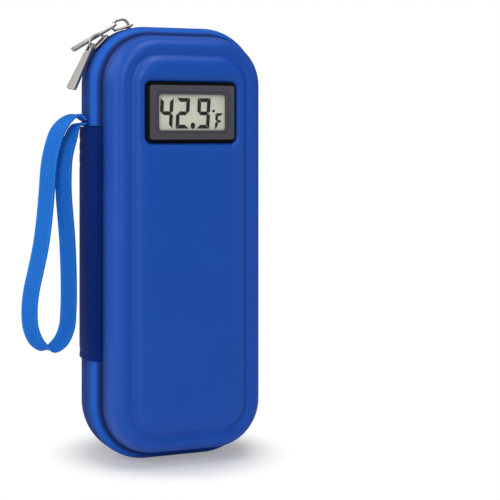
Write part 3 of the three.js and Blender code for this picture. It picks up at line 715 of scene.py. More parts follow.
# %% Tapes
TAPE_OUT = [(0.22, 12.1), (-2.39, 11.25), (-4.39, 9.44), (-5.415, 7.26), (-5.7, 5.0), (-5.7, 2.4),
            (-5.6, 1.1), (-5.3, 0.62)]
TAPE_IN = [(-4.6, 0.6), (-4.6, 5.0), (-4.54, 6.49), (-3.51, 8.67), (-1.51, 10.48), (0.22, 11.0)]


def spine_window(spare):
    low, high = (height - CENTRE for height in SPINE)
    return tablet(
        (20, high - low + 2 * spare, 0.1), -20, 20, (-49, (high + low) / 2), steps=1
    )


RIB = 1.3  # pitch of the ribs
front_tape = carried(rounded(TAPE_OUT) + TAPE_IN, spins=20, cuts=(40, 10))
cut(front_tape, spine_window(0.3))
mapped(front_tape, lambda p: (around(p.x, p.y)[0], p.z), around(1, 1)[1])
smooth(front_tape, 50)
placed(front_tape, FRONT)
rear_tape = mirrored(front_tape)

tape_blue = Finish("tape_blue", (25, 100, 200), 0.62, Specular_IOR_Level=0.25)
along, across, _ = tape_blue.cloth().axes()
# Painted shade: the tape is darker where it turns in to the coil, striped by its ribs.
edge = 1 - across.step(5.0, 9.6)
ribs = along.wave(RIB)
weave = ((along * 9).sine() * (across * 9).sine()) * 0.5 + 0.5
dark = edge * (0.45 + ribs * 0.55)
# Painted shade: the tape is darker where it meets the shell at the seam.
painted_shade = across.step(10.4, 11.9)
tape_blue.tint(dark.maths("MAXIMUM", dark, painted_shade), (16, 96, 204), (2, 36, 108))
tape_blue.relief(ribs * edge * 0.8 + weave * 0.2, 0.22)
handed_over(front_tape, "front_tape_cloth", tape_blue, "front_half", ["front_zip_tape"])
handed_over(rear_tape, "rear_tape_cloth", tape_blue, "rear_half", ["rear_zip_tape"])

# %% [markdown]
# ## Zip coils
# A coil zip is one nylon wire wound into loops and sewn along the tape. One loop is a small ring
# that stands across the tape. It is repeated in a row, and the row is bent round the outline.

# %% Coils
def coil_row(low, high, lead):
    """One ring repeated along the outline, from below the spine round to above it."""
    bpy.ops.object.select_all(action="DESELECT")
    bpy.ops.mesh.primitive_torus_add(
        major_segments=8, minor_segments=4, major_radius=0.78 * MM, minor_radius=0.3 * MM
    )
    ring = bpy.context.object
    editing(ring)
    bpy.ops.transform.rotate(value=math.radians(90), orient_axis="Y", center_override=(0, 0, 0))
    bpy.ops.transform.resize(value=(1.3, 0.6, (high - low) / 2.16), center_override=(0, 0, 0))
    bpy.ops.transform.translate(value=(0, 0, (low + high) / 2 * MM))
    done()
    corners = corners_of(SEAM)
    path = []
    for cx, cy, radius in reversed(corners[:2]):
        start = math.pi if cx < 0 else math.pi / 2
        for step in range(25):
            turn = start - math.pi / 2 * step / 24
            path.append((cx + (radius + 3.65) * math.cos(turn), cy + (radius + 3.65) * math.sin(turn)))
    below = [(x, -y) for x, y in reversed(path)]
    low_end, high_end = (height - CENTRE for height in SPINE)
    path = [(path[0][0], high_end + 1)] + path + below + [(path[0][0], low_end - 1)]
    length = sum(math.dist(a, b) for a, b in zip(path, path[1:]))
    data = bpy.data.curves.new("coil_path", "CURVE")
    line = data.splines.new("POLY")
    line.points.add(len(path) - 1)
    for point, (x, y) in zip(line.points, path):
        point.co = (x * MM, y * MM, 0, 1)
    guide = bpy.data.objects.new("coil_path", data)
    bpy.context.scene.collection.objects.link(guide)
    count = int((length - lead) / 1.4)
    modify(
        ring, "ARRAY", count=count, use_relative_offset=False, use_constant_offset=True,
        constant_offset_displace=(1.4 * MM, 0, 0),
    )
    moved(ring, lambda p: p + Vector((lead, 0, 0)))
    modify(ring, "CURVE", object=guide, deform_axis="POS_X")
    bpy.data.objects.remove(guide)
    smooth(ring, 180)
    print("coil loops", count)
    return ring


nylon = Finish("coil_nylon", (30, 104, 205), 0.35)
nylon.set("Roughness", 0.28 + nylon.coordinates().grain(2.0) * 0.2)
front_coil = coil_row(0.15, 2.8, 0.7)
placed(front_coil, FRONT)
rear_coil = coil_row(0.15, 2.8, 1.4)
placed(rear_coil, FRONT)
turned_over(rear_coil)
handed_over(front_coil, "front_coil_loops", nylon, "front_half", ["front_zip_coil"])
handed_over(rear_coil, "rear_coil_loops", nylon, "rear_half", ["rear_zip_coil"])

# %% [markdown]
# ## Rim bindings
# A charcoal knit binds the raw rim of each half. Its section wraps the rim and is carried round
# the outline. The other half's binding is a mirrored copy, and the two meet when the case shuts.

# %% Bindings
BINDING = [(-0.9, 0.7), (-0.9, 3.2), (-4.0, 3.2), (-3.8, 5.0), (-2.76, 7.74), (-1.44, 9.56),
           (0.3, 10.7), (4.4, 10.7), (4.4, 1.5), (4.0, 0.8), (3.0, 0.25), (1.5, 0.03), (0.2, 0.03),
           (-0.6, 0.25)]
front_binding = carried(BINDING, spins=14, cuts=(30, 8))
mapped(front_binding, lambda p: (around(p.x, p.y)[0], p.z - math.hypot(p.x, p.y)), around(1, 1)[1])
smooth(front_binding, 45)
placed(front_binding, FRONT)
rear_binding = mirrored(front_binding)
black_cloth = Finish("black_cloth", (40, 40, 44), 0.85, Specular_IOR_Level=0.25)
x, y, z = black_cloth.coordinates().axes()
knit = ((x + z) * 6).sine() * ((z - x) * 6).sine() * 0.5 + 0.5
black_cloth.tint(knit * 0.6 + black_cloth.coordinates().grain(1.5, 3) * 0.4, (30, 30, 33), (56, 56, 61))
black_cloth.relief(knit, 0.12)
handed_over(
    front_binding, "front_bound_rim", black_cloth, "front_half", ["front_rim_binding"]
)
handed_over(
    rear_binding, "rear_bound_rim", black_cloth, "rear_half", ["rear_rim_binding"]
)

# %% [markdown]
# ## Foil linings
# The lining is foil on thin foam. Its section is carried round like the shell's, and a grid closes
# its floor. Noise lowers the faces a little, and a bump map of creases does the rest: deep in the
# front half, and faint in the rear one, where the real foil is smoother.

# %% Linings
LINING_OUT = [(4.9, 11), (5.6, 16.5), (6.5, 21.75), (7.3, 23.9), (8.9, 25.15), (12.9, 25.75), (24, 25.75)]
LINING_IN = [(24, 24.95), (13.2, 24.95), (9.7, 24.35), (8.2, 23.3), (7.3, 21.45), (6.4, 16.3), (5.7, 11)]


def foil_lining(crumple, opening=None):
    piece = carried(LINING_IN + LINING_OUT, loop=False, spins=14, cuts=(60, 12))
    capped(piece, LINING_IN[0][1], 12 + 14)
    capped(piece, LINING_OUT[-1][1], 12 + 14)

    def crumpled(p):
        shift = crumple * (noise.noise(p * 0.16) + 0.6 * abs(noise.noise(p * 0.4)))
        inner = p.z < 25.2 and p.z > 11.5
        return p - Vector((0, 0, max(shift, -0.2))) if inner else p

    moved(piece, crumpled)
    closed(piece)
    if opening:
        cut(piece, tablet(opening, 20, 40, UNIT))
    smooth(piece, 60)
    placed(piece, FRONT)
    return piece


def foil_finish(name, crumple, per_mm):
    made = Finish(name, (232, 234, 238), 0.3, Metallic=0.75)
    place = made.coordinates()
    settings = {"feature": "DISTANCE_TO_EDGE"}
    creases = place.node("ShaderNodeTexVoronoi", settings, {"Vector": place, "Scale": per_mm})
    folds = creases.step(0.0, 0.5) * 0.7 + place.grain(per_mm * 1.6, 3) * 0.6
    made.relief(folds, crumple)
    made.tint(place.grain(per_mm, 2), (212, 214, 220), (244, 245, 248))
    made.set("Roughness", 0.22 + place.grain(0.6, 3) * 0.2)
    return made


crumpled_foil = foil_finish("crumpled_foil", 1.7, 0.34)
smooth_foil = foil_finish("smooth_foil", 0.16, 0.2)
front_lining = foil_lining(0.5, OPENING)
rear_lining = turned_over(foil_lining(0.12))
handed_over(front_lining, "front_foil", crumpled_foil, "front_half", ["front_foil_lining"])
handed_over(rear_lining, "rear_foil", smooth_foil, "rear_half", ["rear_foil_lining"])

# %% [markdown]
# ## Spine
# A wide navy cover is sewn over the spine, with a pleated gusset under it. Each is drawn in two
# lengths that meet at the middle of the spine: one on the front half's side, the other on the rear
# half's.

# %% Cover and gusset
COVER_OUT = [(0, 12.1), (-3.02, 11.25), (-5.9, 9.2), (-6.91, 5.08), (-7.2, 0)]
COVER_IN = [(-6.0, 0), (-5.76, 4.84), (-4.82, 8.23), (-2.38, 10.16), (0, 11.01)]
GUSSET_OUT = [(-3.2, 0), (-3.5, 0.6), (-3.2, 1.2), (-3.5, 1.8), (-3.2, 2.4), (-3.3, 3.0)]
GUSSET_IN = [(-3.8, 3.0), (-3.7, 2.4), (-4.0, 1.8), (-3.7, 1.2), (-4.0, 0.6), (-3.7, 0)]


def spine_strip(points, rows):
    """A strip of one section, raised from the spine's lower to its upper end."""
    flat = [(inset - SEAM[0] / 2, PARTING / MM - depth) for inset, depth in points]
    bpy.ops.object.select_all(action="DESELECT")
    bpy.ops.mesh.primitive_circle_add(vertices=len(flat), radius=1)
    piece = bpy.context.object
    for vertex, (x, y) in zip(piece.data.vertices, flat):
        vertex.co = Vector((x, y, SPINE[0])) * MM
    raised(piece, (0, 0, (SPINE[1] - SPINE[0]) * MM / rows), rows)
    smooth(piece, 50)
    return piece


def hemmed(p):
    """Draws the cover in a little at its hems and along three folds near its top."""
    lines = ((SPINE[0] + 3.5, 0.35), (172, 0.3), (166, 0.22), (159, 0.16), (SPINE[1] - 1.5, 0.25))
    pull = sum(deep * math.exp(-((p.z - high) / 1.1) ** 2) for high, deep in lines)
    return p + Vector((pull if p.x < -44 else 0, 0, 0))


front_cover = spine_strip(rounded(COVER_OUT) + rounded(COVER_IN), 110)
moved(front_cover, hemmed)
rear_cover = mirrored(front_cover)
front_gusset = spine_strip(GUSSET_OUT + GUSSET_IN, 20)
rear_gusset = mirrored(front_gusset)
print("cover faces a side", len(front_cover.data.polygons))

# %% [markdown]
# The cover is a smooth navy cloth with a fine stitch. Each strip is handed over without a body,
# and its place is baked into its mesh.

# %% Spine cloth
cover_navy = Finish("cover_navy", (0, 30, 100), 0.5, Specular_IOR_Level=0.08)
x, y, z = cover_navy.coordinates().axes()
stitches = (z * 3.4).sine() * (y * 3.4).sine() * 0.5 + 0.5
cover_navy.tint(cover_navy.coordinates().grain(0.9, 3), (0, 26, 92), (1, 42, 122))
cover_navy.relief(stitches * 0.5 + cover_navy.coordinates().grain(2.5) * 0.5, 0.06)
handed_over(front_cover, "front_spine_cover", cover_navy, None, ["spine_cover"])
handed_over(rear_cover, "rear_spine_cover", cover_navy, None, ["spine_cover"])
handed_over(front_gusset, "front_spine_gusset", black_cloth, None, ["spine_gusset"])
handed_over(rear_gusset, "rear_spine_gusset", black_cloth, None, ["spine_gusset"])


def bends(piece):
    """Bakes a strip's place into its mesh; the strip does not bend."""
    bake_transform(piece)


bends(front_cover)
bends(rear_cover)
bends(front_gusset)
bends(rear_gusset)

# %% [markdown]
# ## Wrist strap
# A flat loop of woven webbing, sewn under the upper end of the spine cover. It falls to the side,
# turns back on itself at the bottom and comes up again, so both runs show. It is drawn as a ribbon
# along a smooth line through points that are typed one by one, because a strap hangs as it likes.

# %% Line of the strap
# Each point is its place to the side, its height, and how far the ribbon is turned there.
WEB_PATH = [
    (-49.8, 183.0, 0), (-54.0, 185.8, 0.3), (-59.4, 183.2, 0.7), (-64.2, 177.7, 0.9), (-67.4, 168.8, 1),
    (-69.4, 158.7, 1), (-70.5, 145, 1), (-71.9, 129.9, 1), (-73.8, 116, 1), (-76.6, 102.9, 1),
    (-79, 92, 1), (-80, 81, 1), (-79, 71.8, 1), (-75.5, 64.7, 1), (-69.6, 61.1, 1), (-63.4, 64.3, 1),
    (-59.6, 71.5, 1), (-58.5, 81.7, 1), (-58.3, 93.7, 1), (-58.6, 107.3, 1), (-59.3, 121, 1),
    (-60.3, 133, 1), (-61.1, 143.2, 1), (-61.2, 153.5, 1), (-60.3, 163.7, 0.9), (-57.5, 172.9, 0.7),
    (-54.3, 180.0, 0.3), (-49.8, 181.4, 0),
]
WEB_ROWS = 260


def flowing(points, steps):
    """A smooth line through unevenly spaced points that doesn't overshoot at tight turns."""
    ends = [tuple(2 * a - b for a, b in zip(points[i], points[j])) for i, j in ((0, 1), (-1, -2))]
    points = [ends[0], *points, ends[1]]
    result = []
    for i in range(1, len(points) - 2):
        a, b, c, d = points[i - 1:i + 3]
        one, two, three = (math.dist(p[:2], q[:2]) ** 0.5 for p, q in ((a, b), (b, c), (c, d)))
        for step in range(steps):
            t = step / steps
            place = []
            for p, q, r, s in zip(a, b, c, d):
                leave = ((q - p) / one - (r - p) / (one + two)) * two + r - q
                arrive = r - q - ((s - q) / (two + three) - (s - r) / three) * two
                place.append(
                    q + leave * t + (3 * (r - q) - 2 * leave - arrive) * t ** 2
                    + (2 * (q - r) + leave + arrive) * t ** 3
                )
            result.append(place)
    return result + [list(points[-2])]


def evenly(line, count):
    """Places at even distances along a line."""
    sums = [0]
    for a, b in zip(line, line[1:]):
        sums.append(sums[-1] + math.dist(a[:2], b[:2]))
    result = []
    j = 0
    for i in range(count + 1):
        goal = sums[-1] * i / count
        while j < len(line) - 2 and sums[j + 1] < goal:
            j += 1
        t = (goal - sums[j]) / (sums[j + 1] - sums[j])
        result.append([a + (b - a) * t for a, b in zip(line[j], line[j + 1])])
    return result, sums[-1]


web_line, web_length = evenly(flowing(WEB_PATH, 16), WEB_ROWS)
print("webbing length", round(web_length), "mm")

# %% [markdown]
# A grid becomes the ribbon: each of its rows is moved to a place on the line and turned as far as
# the webbing is twisted there. Solidify gives it its thickness.

# %% Webbing
WEB = (9.6, 1.0)  # width and thickness
WEB_TURN = math.radians(42)  # of a ribbon that is turned all the way
bpy.ops.object.select_all(action="DESELECT")
bpy.ops.mesh.primitive_grid_add(x_subdivisions=6, y_subdivisions=WEB_ROWS, size=1)
strap = bpy.context.object
mapped(strap, lambda p: ((p.y * MM + 0.5) * web_length, p.x * MM * WEB[0]))
for vertex in strap.data.vertices:
    i = min(max(round((vertex.co.y + 0.5) * WEB_ROWS), 0), WEB_ROWS)
    x, z, twist = web_line[i]
    (x0, z0, _), (x1, z1, _) = web_line[max(i - 1, 0)], web_line[min(i + 1, WEB_ROWS)]
    onward = Vector((x1 - x0, 0, z1 - z0)).normalized()
    turn = WEB_TURN * min(max(twist, 0), 1)
    side = Vector((-math.sin(turn), math.cos(turn), 0))
    side = (side - onward * side.dot(onward)).normalized()
    vertex.co = (Vector((x, PARTING / MM, z)) + side * vertex.co.x * WEB[0]) * MM
modify(strap, "SOLIDIFY", thickness=WEB[1] * MM, offset=0)
smooth(strap, 40)
print("webbing faces", len(strap.data.polygons))

# %% [markdown]
# The webbing is woven in a herringbone, with short ticks along its firmer edges. Both are read from
# the ribbon's own map, so they follow it round the loop.

# %% Webbing finish
HERRINGBONE = 1.5  # pitch of the weave
web_blue = Finish("web_blue", (22, 120, 220), 0.7, Specular_IOR_Level=0.25)
along, across, _ = web_blue.cloth().axes()
chevron = (along + across.size() * 0.9).wave(HERRINGBONE)
selvedge = across.size().step(3.5, 3.9)
ticks = along.wave(HERRINGBONE) * selvedge
web_blue.tint(chevron * 0.5 + ticks * 0.5, (10, 100, 202), (30, 142, 242))
web_blue.relief(chevron * 0.6 + ticks * 0.4, 0.22)
handed_over(strap, "strap_webbing", web_blue, "strap", ["wrist_strap"])

# %% [markdown]
# ## Sliders
# Each slider is a small cast piece: a rounded plate outside the tapes, a loop for the pull, and a
# plate under the coils, joined by a thin post. It is made upright at the middle of the corner's
# arc, raised to the crest and then turned to its place. Sliders and pulls are satin nickel.

# %% Sliders
nickel = Finish("nickel", (188, 182, 177), 0.34, Metallic=1.0)
nickel.set("Roughness", 0.28 + nickel.coordinates().grain(0.5, 3) * 0.14)
CORNER = Vector((-17.2, PARTING / MM, 201.9))
CREST = 31.9  # from the corner's middle to the crest of the tapes
SLIDER_PLATE = 1.7  # top of the plate, above the crest
LOOP_RISE = 3.5  # from there to the top inside the loop
LOOP_BACK = 4.22  # how far behind the slider's middle the pull hangs


def slider(turn):
    """A slider at the crest of the corner, turned so many degrees to the left of upright."""
    plate = tablet((11, 8, 3.2), 0.5, SLIDER_PLATE)
    bevelled(plate, 0.5, 3)
    inner = tablet((9, 5, 1.2), -4.4, -3.6)
    bevelled(inner, 0.2, 2)
    post = tablet((3, 0.6, 0.25), -3.9, 1.4, (2.8, 0), 2)
    loop = tablet((10.4, 9.6, 4.2), -0.7, 0.7, (-1.2, 0), 10)
    cut(loop, tablet((7.6, 6.8, 2.9), -3, 3, (-1.2, 0), 10))
    cut(loop, tablet((30, 20, 1), -3, 3, (0, -10.1), 1))
    bevelled(loop, 0.45, 3)
    upright = Matrix.Rotation(math.radians(90), 4, "X")
    placed(loop, Matrix.Translation((0, 0, SLIDER_PLATE * MM)) @ upright)
    whole = joined(plate, inner, post, loop)
    angle = Matrix.Rotation(-math.radians(turn), 4, "Y")
    placed(whole, Matrix.Translation(CORNER * MM) @ angle @ Matrix.Translation((0, 0, CREST * MM)))
    return whole


handed_over(slider(45), "left_zip_slider", nickel, "left_slider", ["left_slider"])
handed_over(slider(18), "right_zip_slider", nickel, "right_slider", ["right_slider"])

# %% [markdown]
# ## Pulls
# A pull is a flat bar that widens to its end, with a hole for the loop and a thinner neck. Its
# outline is typed point by point, cut and bevelled, and turned about the loop that it hangs on.

# %% Pulls
def pull(turn, share, swing, yaw, shift, twist):
    """A pull on the loop of a slider.

    It hangs at a share of the loop's rise, and so many millimetres to its front. Swing, yaw and
    twist turn it about the loop, about upright and about its own length.
    """
    half = [(2.5, 0.55), (2.5, -4.6), (3.8, -25.4), (3.3, -27)]
    body = drawn(half + [(-x, y) for x, y in reversed(half)], 1.6, (0, 0, -0.8))
    cut(body, tablet((3.2, 3.75, 0.6), -3, 3, (0, -2.425)))
    for low, high in ((0.55, 3), (-3, -0.55)):
        cut(body, tablet((12, 1.4, 0.05), low, high, (0, 0.15), 1))
    bevelled(body, 0.22, 3, 30)
    quarter = math.radians(90)
    hanging = Matrix.Rotation(quarter, 4, "X")
    placed(body, Matrix.Rotation(quarter + math.radians(twist), 4, "Z") @ hanging)
    high = CREST + SLIDER_PLATE + share * LOOP_RISE
    turn, swing, yaw = (math.radians(angle) for angle in (turn, swing, yaw))
    pivot = CORNER + Vector((
        -LOOP_BACK * math.cos(turn) - high * math.sin(turn), -shift,
        -LOOP_BACK * math.sin(turn) + high * math.cos(turn),
    ))
    turned = Matrix.Rotation(-yaw, 4, "Z") @ Matrix.Rotation(swing, 4, "Y")
    placed(body, Matrix.Translation(pivot * MM) @ turned)
    return body


handed_over(pull(45, 0.51, 26, 0, 0, 18), "left_zip_pull", nickel, "left_pull", ["left_pull"])
handed_over(
    pull(18, 0.7, 60, 30, 0.45, 0), "right_zip_pull", nickel, "right_pull", ["right_pull"]
)

# %% [markdown]
# ## Display unit
# The thermometer is a small clip-in unit in a soft gasket. Frame and gasket are plates with round
# corners, their windows cut out and their edges bevelled, because moulded parts have no sharp edge.

# %% Frame and gasket
black_plastic = Finish("black_plastic", (78, 75, 82), 0.42, Specular_IOR_Level=0.35)
place = black_plastic.coordinates()
black_plastic.tint(place.grain(2.5, 3), (70, 68, 75), (86, 83, 91))
black_plastic.relief(place.grain(6, 2), 0.03)
BEZEL = (48, 28.6, 1.4)
BEZEL_BACK, BEZEL_FRONT = 31.2, 32.8  # depths
housing = tablet(BEZEL, BEZEL_BACK, BEZEL_FRONT, UNIT)
cut(housing, tablet((38.2, 18.8, 1.5), 25, 40, UNIT))
groove = tablet((41.2, 21.8, 2.4), BEZEL_FRONT - 0.4, 34, UNIT)
cut(groove, tablet((40.4, 21.0, 2.1), 30, 40, UNIT))
cut(housing, groove)
bevelled(housing, 0.35, 3)
sleeve = tablet((45.6, 26.2, 2), 18.9, BEZEL_BACK + 0.1, UNIT)
cut(sleeve, tablet((43.2, 23.8, 0.8), 10, 40, UNIT))
smooth(sleeve)
housing = joined(housing, sleeve)
placed(housing, FRONT)
handed_over(
    housing, "display_frame", black_plastic, "front_half", ["display_housing"]
)

rubber = Finish("rubber", (6, 6, 12), 0.7, Specular_IOR_Level=0.15)
rubber.set("Roughness", 0.6 + rubber.coordinates().grain(2, 3) * 0.25)
gasket = tablet((51.4, 32.0, 3.1), 27.3, 30.6, UNIT)
cut(gasket, tablet((46.2, 26.8, 2), 20, 40, UNIT))
bevelled(gasket, 0.5, 3)
placed(gasket, FRONT)
handed_over(gasket, "opening_gasket", rubber, "front_half", ["display_gasket"])

# %% [markdown]
# ## Lens and panel
# A clear lens lies in the frame's window, over a pale liquid-crystal panel. The lens is all but
# clear to the eye and only shines, which a low alpha gives without tracing glass.

# %% Lens and panel
lens_clear = Finish("lens_clear", (240, 244, 248), 0.06, Alpha=0.02)
lens_clear.set("Roughness", 0.04 + lens_clear.coordinates().grain(0.5) * 0.05)
lens = tablet((37.6, 18.2, 1.3), BEZEL_BACK, 32.2, UNIT)
bevelled(lens, 0.15)
placed(lens, FRONT)
handed_over(lens, "clear_lens", lens_clear, "front_half", ["display_lens"])

crystal = Finish("crystal", (200, 203, 185), 0.45)
place = crystal.coordinates()
crystal.tint(place.grain(4, 2) * 0.7 + place.grain(0.15) * 0.3, (210, 215, 193), (232, 236, 217))
PANEL_FRONT = 30.9
panel = tablet((42.6, 23.2, 0.4), 29.2, PANEL_FRONT, UNIT)
smooth(panel)
placed(panel, FRONT)
handed_over(panel, "panel_glass", crystal, "front_half", ["crystal_panel"])

# %% [markdown]
# ## Digits
# A liquid-crystal digit is seven bars that turn dark or clear. Only the dark ones are drawn, as
# solids a tenth of a millimetre thick on the panel. Their ends are mitred where two bars meet at a
# corner and pointed elsewhere, and the digits lean a little.

# %% Digits
INK = (PANEL_FRONT + 0.03, 0.1)  # depth at which the bars start, and their thickness
LEAN = math.tan(math.radians(3))


def bar(start, end, thick, outer, mitred):
    """One segment of a digit. Its ends are mitred at corners and pointed elsewhere."""
    (x0, y0), (x1, y1) = start, end
    span = math.dist(start, end)
    dx, dy = (x1 - x0) / span, (y1 - y0) / span
    half, gap = thick / 2, 0.12
    ends = []
    for mitre in mitred:
        ends.append([(gap - half, outer * half), (gap + half, -outer * half)] if mitre else
                    [(gap + half, outer * half), (gap, 0), (gap + half, -outer * half)])
    shape = ends[0] + [(span - along, across) for along, across in reversed(ends[1])]
    outline = []
    for along, across in shape:
        x = x0 + dx * along - dy * across
        y = y0 + dy * along + dx * across
        outline.append((x + y * LEAN + UNIT[0], y + UNIT[1]))
    return drawn(outline, INK[1], (0, 0, INK[0]))


def digit(shape, left, right, top, foot, thick=2.0):
    """Bars of a digit, named from a at the top round to f, with g in the middle."""
    left, right, top, foot = left + thick / 2, right - thick / 2, top - thick / 2, foot + thick / 2
    half = (top + foot) / 2
    ends = {
        "a": ((left, top), (right, top), 1, (True, True)),
        "b": ((right, half), (right, top), -1, (False, True)),
        "c": ((right, foot), (right, half), -1, (True, False)),
        "d": ((left, foot), (right, foot), -1, (True, True)),
        "e": ((left, foot), (left, half), 1, (True, False)),
        "f": ((left, half), (left, top), 1, (False, True)),
        "g": ((left, half), (right, half), 1, (False, False)),
    }
    bars = []
    for key in shape:
        start, end, outer, mitred = ends[key]
        bars.append(bar(start, end, thick, outer, mitred))
    return bars


bars = digit("bcfg", -18.0, -10.6, 7.6, -8.5) + digit("abged", -8.8, -1.3, 7.6, -8.5)
bars += digit("abcdfg", 3.2, 10.6, 7.6, -8.5) + digit("aefg", 13.9, 18.2, -0.3, -8.9, 1.5)
bars += [
    tablet((2.5, 3.3, 1.2), INK[0], sum(INK), (0.7 + UNIT[0], -7.0 + UNIT[1])),
    tablet((1.5, 1.5, 0.74), INK[0], sum(INK), (12.7 + UNIT[0], 0.9 + UNIT[1])),
]
digits = joined(*bars)
placed(digits, FRONT)
ink = Finish("crystal_ink", (5, 6, 6), 0.7, Specular_IOR_Level=0.02)
ink.tint(ink.coordinates().grain(2, 2), (4, 5, 6), (10, 11, 12))
handed_over(digits, "panel_digits", ink, "front_half")

# %% [markdown]
# ## Patch behind the display unit
# A black ribbed patch covers the back of the display unit. It is a shallow tray with round corners,
# hollowed from behind, and has a small hole over the unit's button.

# %% Patch
ribbed = Finish("ribbed_cloth", (36, 36, 40), 0.8, Specular_IOR_Level=0.25)
ribs = ribbed.coordinates().axes()[0].wave(RIB)
ribbed.tint(ribs * 0.7 + ribbed.coordinates().grain(2, 3) * 0.3, (24, 24, 27), (50, 50, 55))
ribbed.relief(ribs, 0.25)
PATCH = (0, 66.15)
patch = tablet((55, 42, 7), 16.5, 24.65, PATCH)
bevelled(patch, 0.6, 3)
cut(patch, tablet((53.4, 40.4, 6.2), 17.4, 30, PATCH))
cut(patch, tablet((6.4, 6.4, 3.19), 10, 30, (18.15, UNIT[1])))
smooth(patch, 40)
placed(patch, FRONT)
handed_over(patch, "ribbed_patch", ribbed, "front_half", ["display_patch"])

# %% [markdown]
# ## Net and elastic bands
# A fine black net, stretched flat, keeps the gel pack in place, and two elastic bands cross it. Its
# holes are far too many to model, so the net is one thin plate and its material clears the holes.

# %% Net and elastic bands
NET_HOLE = 1.5  # size of a hole
black_mesh = Finish("black_mesh", (30, 32, 44), 0.8)
x, _, z = black_mesh.coordinates().axes()
rising, falling = ((line * (math.pi / NET_HOLE)).sine().size() for line in (x + z, x - z))
threads = rising.maths("MINIMUM", falling)
holes = threads.step(0.3, 0.44)
black_mesh.set("Alpha", 1 - holes * 0.92)
black_mesh.tint(black_mesh.coordinates().grain(1.5), (20, 26, 48), (36, 44, 74))
NET = (77.4, 142.6)  # width and height, flat
BAND_RIB = 1.1  # pitch of the bands' ribs
net = tablet((*NET, 0.5, 21.5), 3.35, 3.85, (0, -35.2), 10)
smooth(net)
placed(net, FRONT)
handed_over(net, "pocket_net", black_mesh, "front_half", ["mesh_pocket"])


def elastic(height, low, high, level):
    """A band across a half, centred at a height above the floor."""
    made = tablet((NET[0], height, 0.35), low, high, (0, level - CENTRE), 3)
    bevelled(made, 0.15)
    placed(made, FRONT)
    return made


elastic_cloth = Finish("elastic_cloth", (34, 34, 38), 0.75, Specular_IOR_Level=0.25)
ribs = elastic_cloth.coordinates().axes()[2].wave(BAND_RIB)
elastic_cloth.tint(ribs * 0.6 + elastic_cloth.coordinates().grain(2, 2) * 0.4, (24, 24, 27), (48, 48, 53))
elastic_cloth.relief(ribs, 0.15)
for level, node in ((150, "upper_pocket_band"), (101, "lower_pocket_band")):
    band = elastic(8.6, 2.2, 2.9, level)
    name = node.replace("pocket_band", "elastic")
    handed_over(band, name, elastic_cloth, "front_half", [node])

# %% [markdown]
# ## Gel packs
# Each half holds a blue gel pack: a flat bag, rounder at its top than at its foot, filled almost
# full and closed by a welded rim. Its edge is one section carried round, and noise lets both faces
# sink as slack film does. So full a bag keeps its shape, so it isn't simulated.

# %% Packs
PACK = (71, 180, 34, 20)  # width, height, and radius at the top and at the foot
PACK_THICK = 11.2
PACK_PLACE = -12.7  # the pack's middle, measured from the case's


def sag(x, y, seed):
    """How far a pack's face sinks at a place, measured from the pack's middle."""
    place = Vector((x, y, 0))
    wave = 0.5 * noise.noise(place * 0.045 + Vector((seed, 0, 0))) + 0.25 * noise.noise(place * 0.11)
    return abs(wave) + 0.1


def gel_pack(nearest, seed):
    """A pack whose nearest face lies at a depth. The seed settles its hollows."""
    half = [(10, 0.0), (6.5, 0.5), (3.8, 1.7), (2.0, 3.5), (1.4, 4.9), (0.0, 5.2)]
    section = half + [(inset, PACK_THICK - depth) for inset, depth in reversed(half)]
    piece = carried(section, PACK, loop=False, spins=14, cuts=(44, 8))
    capped(piece, 0.0, 8 + 14)
    capped(piece, PACK_THICK, 8 + 14)
    closed(piece)

    def slack(p):
        inward = Vector((0, 0, sag(p.x, p.y, seed)))
        if p.z < 3.4:
            return p + inward
        return p - inward if p.z > PACK_THICK - 3.4 else p

    moved(piece, slack)
    smooth(piece, 60)
    placed(piece, FRONT @ Matrix.Translation(Vector((0, PACK_PLACE, nearest)) * MM))
    return piece


pack_blue = Finish("pack_blue", (22, 104, 222), 0.32, Coat_Weight=0.25, Coat_Roughness=0.2)
place = pack_blue.coordinates()
pack_blue.tint(place.grain(0.05, 3), (16, 92, 206), (34, 122, 238))
pack_blue.set("Roughness", 0.26 + place.grain(0.4, 3) * 0.16)
pack_blue.relief(place.grain(0.12, 2), 0.5)
front_pack = gel_pack(4.3, 3)
rear_pack = turned_over(gel_pack(13.45, 11))
handed_over(front_pack, "front_gel_pack", pack_blue, "front_pack", ["front_ice_pack"])
handed_over(rear_pack, "rear_gel_pack", pack_blue, "rear_pack", ["rear_ice_pack"])

# %% [markdown]
# ## Frost stars
# Plain frost stars are printed on the packs. A star is six arms with two pairs of twigs each, every
# stroke a thin solid. The stars are laid out flat, and then sink with the pack's own hollows.

# %% Frost stars
STROKE = 0.035  # half the width of a stroke, as a share of the star's size


def frost_star(size, place, depth):
    """Six arms with two pairs of side twigs each, lying on a pack."""
    parts = []
    for k in range(6):
        turn = math.pi / 3 * k
        strokes = [((0, 0), (0, 1))]
        for start, reach in ((0.45, 0.32), (0.7, 0.22)):
            strokes += [((0, start), (side * reach * 0.8, start + reach * 0.6)) for side in (-1, 1)]
        for (x0, y0), (x1, y1) in strokes:
            span = math.hypot(x1 - x0, y1 - y0)
            ax, ay = -(y1 - y0) / span * STROKE, (x1 - x0) / span * STROKE
            corners = [(x0 + ax, y0 + ay), (x1 + ax, y1 + ay), (x1 - ax, y1 - ay), (x0 - ax, y0 - ay)]
            parts.append(drawn([
                (place[0] + size * (x * math.cos(turn) - y * math.sin(turn)),
                 place[1] - CENTRE + size * (x * math.sin(turn) + y * math.cos(turn)))
                for x, y in corners
            ], 0.5, (0, 0, depth)))
    return joined(*parts)


def printed(piece, seed):
    """Lays the stars on the face of a pack, following its hollows."""
    moved(piece, lambda p: p + Vector((0, 0, sag(p.x, p.y - PACK_PLACE, seed))))


